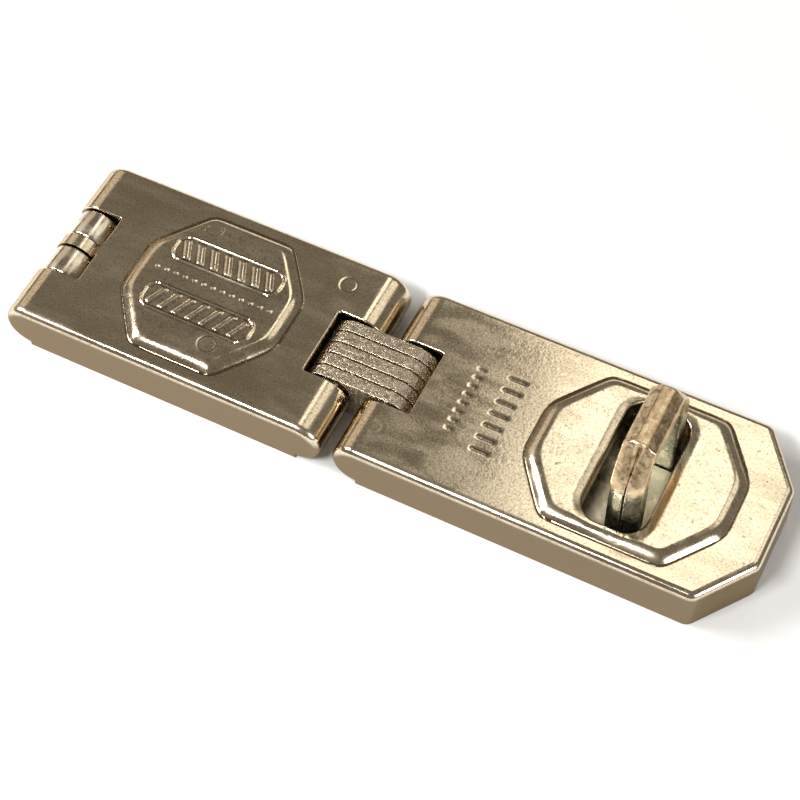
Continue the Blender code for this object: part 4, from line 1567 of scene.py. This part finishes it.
@dataclass
class Staple(Part):
    """Staple with sloping shoulders, faceted along its bar and seamed down its legs."""

    half_width: float = 3.2 * MM
    thickness: float = 4.8 * MM
    shoulder_run: float = 5.4 * MM
    shoulder_drop: float = 9.0 * MM
    inner_turn: float = 1.8 * MM
    step: float = 0.33 * MM
    hammer: float = 0.05 * MM
    crease: float = 1.0 * MM
    far_crease_lead: float = 5.0 * MM
    far_crease: float = 4.0 * MM
    lip_run: float = 9.0 * MM
    dent_sizes: tuple[float, float] = (2.4 * MM, 0.9 * MM)
    corner_steps: int = 4

    @property
    def x(self) -> float:
        """Middle of the staple along the hasp."""
        low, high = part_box("staple")
        return (low.x + high.x) / 2

    @property
    def half_span(self) -> float:
        """Half the width over the legs."""
        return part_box("staple")[1].y

    @property
    def top(self) -> float:
        """Height of the bar's top."""
        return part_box("staple")[1].z

    @property
    def slope_length(self) -> float:
        """Length of a sloping shoulder."""
        return math.hypot(self.shoulder_run, self.shoulder_drop)

    def along(self, travelled: float) -> tuple[Vector, Vector]:
        """Follow the unrounded staple.

        Args:
            travelled: Distance past the near crease, along the outside.

        Returns:
            The outside and the inside, from which the bends are still to be rounded.
        """
        span, top, deep, turn = self.half_span, self.top, self.thickness, self.inner_turn
        half_bar = span - self.shoulder_run
        mirrored = travelled > half_bar
        past = 2 * half_bar - travelled if mirrored else travelled
        leg_top, eye_top = top - self.shoulder_drop, top - deep
        if past >= 0.0:
            outside = (-half_bar + past, top)
            inside = ((turn - (span - deep)) * (1 - past / half_bar), eye_top)
        elif past >= -self.slope_length:
            share = -past / self.slope_length
            outside = (-half_bar - self.shoulder_run * share, top - self.shoulder_drop * share)
            level, upright = turn * max(1 - 2 * share, 0.0), turn * max(2 * share - 1, 0.0)
            inside = (level - (span - deep), eye_top - upright)
        else:
            share = 1 + (past + self.slope_length) / leg_top
            outside = (-span, leg_top * share)
            inside = (-(span - deep), (eye_top - turn) * share)
        side = -1 if mirrored else 1
        return Vector((self.x, side * outside[0], outside[1])), Vector((self.x, side * inside[0], inside[1]))

    def stations(self) -> list[tuple[Vector, Vector, float]]:
        """Return the stations from foot to foot: outside, inside and distance past the near crease."""
        first = -(self.top - self.shoulder_drop) - self.slope_length
        last = 2 * (self.half_span - self.shoulder_run) - first
        steps = math.ceil((last - first) / self.step)
        found = []
        for i in range(steps + 1):
            past = first + (last - first) * i / steps
            near_crease = min(abs(past), abs(past - last - first))
            reach = min(0.35 * MM + 0.5 * near_crease, 1.6 * MM, past - first + 1e-9, last - past + 1e-9)
            samples = [self.along(past + reach * k / 2) for k in (-2, -1, 0, 1, 2)]
            weights = (1, 2, 2, 2, 1)
            outside, inside = (sum((w * s[k] for w, s in zip(weights, samples)), Vector()) / sum(weights)
                               for k in (0, 1))
            found.append((outside, inside, past))
        return found

    def section(self, bar: float, lip: float) -> list[Point]:
        """Outline of the bar as across and inwards.

        Args:
            bar: 0 on a leg, 1 on the top bar.
            lip: How far the seam opens, from 0 to 1.

        Returns:
            The outline, its corners rounded.
        """
        # Worked out in millimetres. On the bar the outer face narrows, flattens and closes its seam.
        half, deep = self.half_width / MM, self.thickness / MM
        flat = half - 1.15 - 0.85 * bar
        fall = 1.15 + 0.45 * bar
        crown = 0.28 * (1 - bar)
        seam = 0.03 + (0.16 + 0.75 * lip) * (1 - bar)
        groove = (0.75 + 0.45 * lip) * (1 - bar) + 0.01
        lip_bend = 0.16 * (1 - bar) + 0.01
        corners = [
            (half, deep, 0.6), (half, fall, 0.3), (flat, crown, 0.3), (seam, 0.0, lip_bend),
            (0.0, groove, 0.08), (-seam, 0.0, lip_bend), (-flat, crown, 0.3),
            (-half, fall, 0.3), (-half, deep, 0.6),
        ]
        points: list[Point] = []
        for i, (across, inwards, radius) in enumerate(corners):
            here = Vector((across, inwards))
            back = (Vector(corners[i - 1][:2]) - here).normalized() * radius
            ahead = (Vector(corners[(i + 1) % len(corners)][:2]) - here).normalized() * radius
            for k in range(self.corner_steps + 1):
                share = k / self.corner_steps
                point = here + back * (1 - share) ** 2 + ahead * share ** 2
                points.append((point.x * MM, point.y * MM))
        return points

    def build(self) -> None:
        """Build the staple and the plate that its legs stand in."""
        stations = self.stations()
        around = 9 * (self.corner_steps + 1)
        far_end = 2 * (self.half_span - self.shoulder_run)
        bm = bmesh.new()
        bmesh.ops.create_grid(bm, x_segments=len(stations) - 1, y_segments=around, size=0.5)
        sections = []
        for _, _, past in stations:
            bar = smooth(0.5 + past / self.crease) \
                * smooth(0.5 + (far_end + self.far_crease_lead - past) / self.far_crease)
            lip = smooth(1 + past / self.lip_run) if past < 0 else 0.3
            sections.append(self.section(bar, lip))
        for vert in bm.verts:
            i = round((vert.co.x + 0.5) * (len(stations) - 1))
            j = round((vert.co.y + 0.5) * around) % around
            outside, inside, _ = stations[i]
            across, inwards = sections[i][j]
            centre = (outside + inside) / 2
            place = outside + (inside - outside) * (inwards / self.thickness) + Vector((across, 0, 0))
            large, small = (abs(noise.noise(place / size)) for size in self.dent_sizes)
            rough = large + 0.4 * small
            vert.co = place - (place - centre).normalized() * rough * self.hammer
        bmesh.ops.remove_doubles(bm, verts=bm.verts, dist=0.0001 * MM)
        fill_holes(bm)
        staple = new_piece("staple_bar", bm, 38.0)
        mark_edges(staple, 0.5 * MM)
        self.hand_over(staple, Body.STAPLE, "staple", "staple_steel", self.finishes.staple)
        plate = PlateMaker(self.sizes, self.finishes).staple_plate(self.x, self.half_span, self.half_width,
                                                                  self.thickness)
        self.hand_over(plate, Body.STAPLE, "staple_plate", "plate_steel", self.finishes.plate)


@dataclass
class PlateMaker(Part):
    """Makes the two flat mounting plates with their countersunk holes."""

    thickness: float = 2.3 * MM
    corner: float = 2.2 * MM
    rim: float = 0.3 * MM
    bore: float = 2.75 * MM
    head: float = 5.0 * MM
    head_depth: float = 1.8 * MM
    hole_margin: float = 7.5 * MM
    fit: float = 0.3 * MM
    sharp_deg: float = 35.0

    def slab(self, outline: list[Point]) -> bmesh.types.BMesh:
        """Return a flat plate with rounded rims."""
        turn = quarter_turn(self.rim, 4)
        levels = turn + [(inset, self.thickness - depth) for inset, depth in reversed(turn)]
        return loft_rings([(inset_outline(outline, inset), z) for inset, z in levels])

    def drill(self, plate: bpy.types.Object, x: float, y: float) -> None:
        """Drill and countersink one fixing hole from above."""
        rings = ((self.bore, -MM), (self.bore, self.thickness - self.head_depth),
                 (self.head - 0.15 * MM, self.thickness - 0.12 * MM), (self.head + 0.05 * MM, self.thickness),
                 (self.head + 0.05 * MM, self.thickness + MM))
        combine(plate, loft_rings([(arc((x, y), radius, 0, 352.5, 47), z) for radius, z in rings]), Solver.CUT)

    def staple_plate(self, x: float, half_span: float, half_width: float,
                     thickness: float) -> bpy.types.Object:
        """Make the plate that the staple's legs stand in.

        Args:
            x: The staple's place.
            half_span: Half its width over the legs.
            half_width: Half its bar's width.
            thickness: Its bar's thickness.

        Returns:
            The plate.
        """
        low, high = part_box("staple_plate")
        sizes = self.sizes
        normal = Vector((sizes.tip_cut_y, sizes.tip_cut_x)).normalized()
        place = Vector((sizes.tip - sizes.tip_cut_x, sizes.half_width)) - normal * (sizes.sheet + 1.4 * MM)
        y_at_end = place.y - (high.x - place.x) * normal.x / normal.y
        x_at_side = place.x - (high.y - place.y) * normal.y / normal.x
        outline = [(low.x, -high.y), (x_at_side, -high.y), (high.x, -y_at_end), (high.x, y_at_end),
                   (x_at_side, high.y), (low.x, high.y)]
        plate = new_piece("staple_plate_flat", self.slab(rounded_outline(outline, 0.8 * MM, 4)))
        for side in (-1, 1):
            y_low, y_high = sorted((side * (half_span + self.fit), side * (half_span - thickness - self.fit)))
            combine(plate, block(Vector((x - half_width - self.fit, y_low, -MM)),
                                 Vector((x + half_width + self.fit, y_high, self.thickness + MM))), Solver.CUT)
            self.drill(plate, low.x + 8.0 * MM, side * (high.y - self.hole_margin))
            self.drill(plate, high.x - 8.0 * MM, side * 7.5 * MM)
        shade(plate, self.sharp_deg)
        return plate


@dataclass
class HingePlate(PlateMaker):
    """Mounting plate rolled into two barrels, with the hinge pin."""

    barrel: float = 4.8 * MM
    barrel_rim: float = 0.45 * MM
    barrel_sides: int = 96
    gap: float = 0.9 * MM
    hole_inset: float = 8.5 * MM

    def build(self) -> None:
        """Build the plate and dress the pin."""
        sizes = self.sizes
        start = sizes.hinge_x + sizes.roll + self.gap
        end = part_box("hinge_plate")[1].x
        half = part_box("hinge_plate")[1].y
        outline = rounded_outline(rectangle(start, end, half), self.corner, 6)
        plate = new_piece("hinge_plate_rolled", self.slab(outline))
        for side in (-1, 1):
            y_low, y_high = sorted((side * (sizes.middle_half + self.fit), side * (sizes.knuckle_half - self.fit)))
            web = block(Vector((sizes.hinge_x, y_low, sizes.roll - self.barrel)),
                        Vector((start + self.corner, y_high, self.thickness)))
            combine(plate, web, Solver.JOIN)
            combine(plate, self.rounded_barrel(y_low, y_high), Solver.JOIN)
        combine(plate, rod(Vector((sizes.hinge_x, 0, sizes.roll)), sizes.bore, 2 * sizes.half_width), Solver.CUT)
        for x in (start + self.hole_inset, end - self.hole_inset):
            for side in (-1, 1):
                self.drill(plate, x, side * (half - self.hole_margin))
        shade(plate, self.sharp_deg)
        self.hand_over(plate, Body.MOUNTING, "hinge_plate", "plate_steel", self.finishes.barrel)
        self.keep_node("hinge_pin", self.finishes.pin)

    def rounded_barrel(self, y_low: float, y_high: float) -> bmesh.types.BMesh:
        """Return one barrel with rounded ends."""
        centre = Vector((self.sizes.hinge_x, (y_low + y_high) / 2, self.sizes.roll))
        bm = rod(centre, self.barrel, y_high - y_low, self.barrel_sides)
        rims = [e for e in bm.edges if abs(e.verts[0].co.y - e.verts[1].co.y) < 1e-7]
        bmesh.ops.bevel(bm, geom=rims, offset=self.barrel_rim, segments=4, profile=0.5, affect="EDGES",
                        material=-1)
        return bm


# ---------------------------------------------------------------------------------------------
# Studio
# ---------------------------------------------------------------------------------------------


@dataclass
class SoftPanel:
    """One soft rectangular light."""

    name: str
    place: tuple[float, float, float]
    aim: tuple[float, float, float]
    width: float
    depth: float
    power: float
    colour: Colour = (1.0, 1.0, 1.0)

    def build(self) -> None:
        """Hang the light."""
        data = bpy.data.lights.new(self.name, "AREA")
        data.shape = "RECTANGLE"
        data.size, data.size_y = self.width, self.depth
        data.energy = self.power
        data.color = self.colour
        lamp = bpy.data.objects.new(self.name, data)
        bpy.context.collection.objects.link(lamp)
        lamp.location = self.place
        lamp.rotation_euler = (Vector(self.aim) - Vector(self.place)).to_track_quat("-Z", "Y").to_euler()


@dataclass
class Studio:
    """Floor, lights and camera."""

    azimuth: float = 27.72
    elevation: float = 57.28
    roll: float = 1.28
    distance: float = 392.66 * MM
    lens: float = 89.9
    aim: tuple[float, float, float] = (-0.04 * MM, 0.24 * MM, 0.0)
    floor_half: float = 2.0
    sky: Colour = (0.18, 0.163, 0.138)
    panels: list[SoftPanel] = field(default_factory=lambda: [
        SoftPanel("back_panel", (-0.053, 0.48, 0.74), (0.03, 0.0, 0.0), 0.185, 0.50, 0.45, (1.0, 0.96, 0.88)),
        SoftPanel("right_back_panel", (0.33, 0.46, 0.72), (0.0, 0.0, 0.0), 0.36, 0.40, 0.42, (1.0, 0.95, 0.86)),
        SoftPanel("front_key", (-0.24, -0.46, 0.76), (0.0, 0.0, 0.0), 0.32, 0.11, 5.5),
        SoftPanel("left_fill", (-0.75, -0.15, 0.60), (0.0, 0.0, 0.0), 0.36, 0.36, 6.0),
        SoftPanel("left_glow", (-0.78, 0.40, 0.42), (-0.05, 0.0, 0.0), 0.50, 0.50, 0.40, (1.0, 0.84, 0.70)),
        SoftPanel("right_fill", (0.80, -0.25, 0.40), (0.0, 0.0, 0.0), 0.30, 0.30, 3.0),
    ])

    def build(self) -> None:
        """Build the floor, the lights and the camera."""
        bm = bmesh.new()
        bmesh.ops.create_grid(bm, x_segments=8, y_segments=8, size=self.floor_half)
        floor = new_piece("floor", bm)
        dress(floor, StudioFloor().material())
        for panel in self.panels:
            panel.build()
        world = bpy.data.worlds.new("studio")
        world.use_nodes = True
        background = world.node_tree.nodes["Background"]
        background.inputs["Color"].default_value = (*self.sky, 1.0)
        background.inputs["Strength"].default_value = 1.0
        bpy.context.scene.world = world
        bpy.context.scene.view_settings.view_transform = "Standard"
        self.add_camera()

    def add_camera(self) -> None:
        """Place the camera."""
        azimuth, elevation = math.radians(self.azimuth), math.radians(self.elevation)
        back = Vector((math.sin(azimuth) * math.cos(elevation), -math.cos(azimuth) * math.cos(elevation),
                       math.sin(elevation)))
        data = bpy.data.cameras.new("camera")
        data.lens = self.lens
        data.clip_start, data.clip_end = 0.02, 20.0
        camera = bpy.data.objects.new("camera", data)
        bpy.context.collection.objects.link(camera)
        level = (-back).to_track_quat("-Z", "Y")
        camera.rotation_mode = "QUATERNION"
        camera.rotation_quaternion = level @ Euler((0, 0, -math.radians(self.roll))).to_quaternion()
        camera.location = Vector(self.aim) + back * self.distance
        bpy.context.scene.camera = camera


def corners(box: tuple[Vector, Vector]) -> list[list[float]]:
    """Return a box as plain lists of numbers."""
    return [list(corner) for corner in box]


def main() -> None:
    """Build every sub-assembly in order, then the studio."""
    logging.basicConfig(level=logging.INFO, format="%(name)s %(relativeCreated)6.0f ms %(message)s")
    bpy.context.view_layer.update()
    sizes, finishes = Sizes(), Finishes()
    HingePlate(sizes, finishes).build()
    FirstLeaf(sizes, finishes).build()
    Link(sizes, finishes).build()
    SecondLeaf(sizes, finishes).build()
    Staple(sizes, finishes).build()
    Studio().build()


if __name__ == "__main__":
    main()
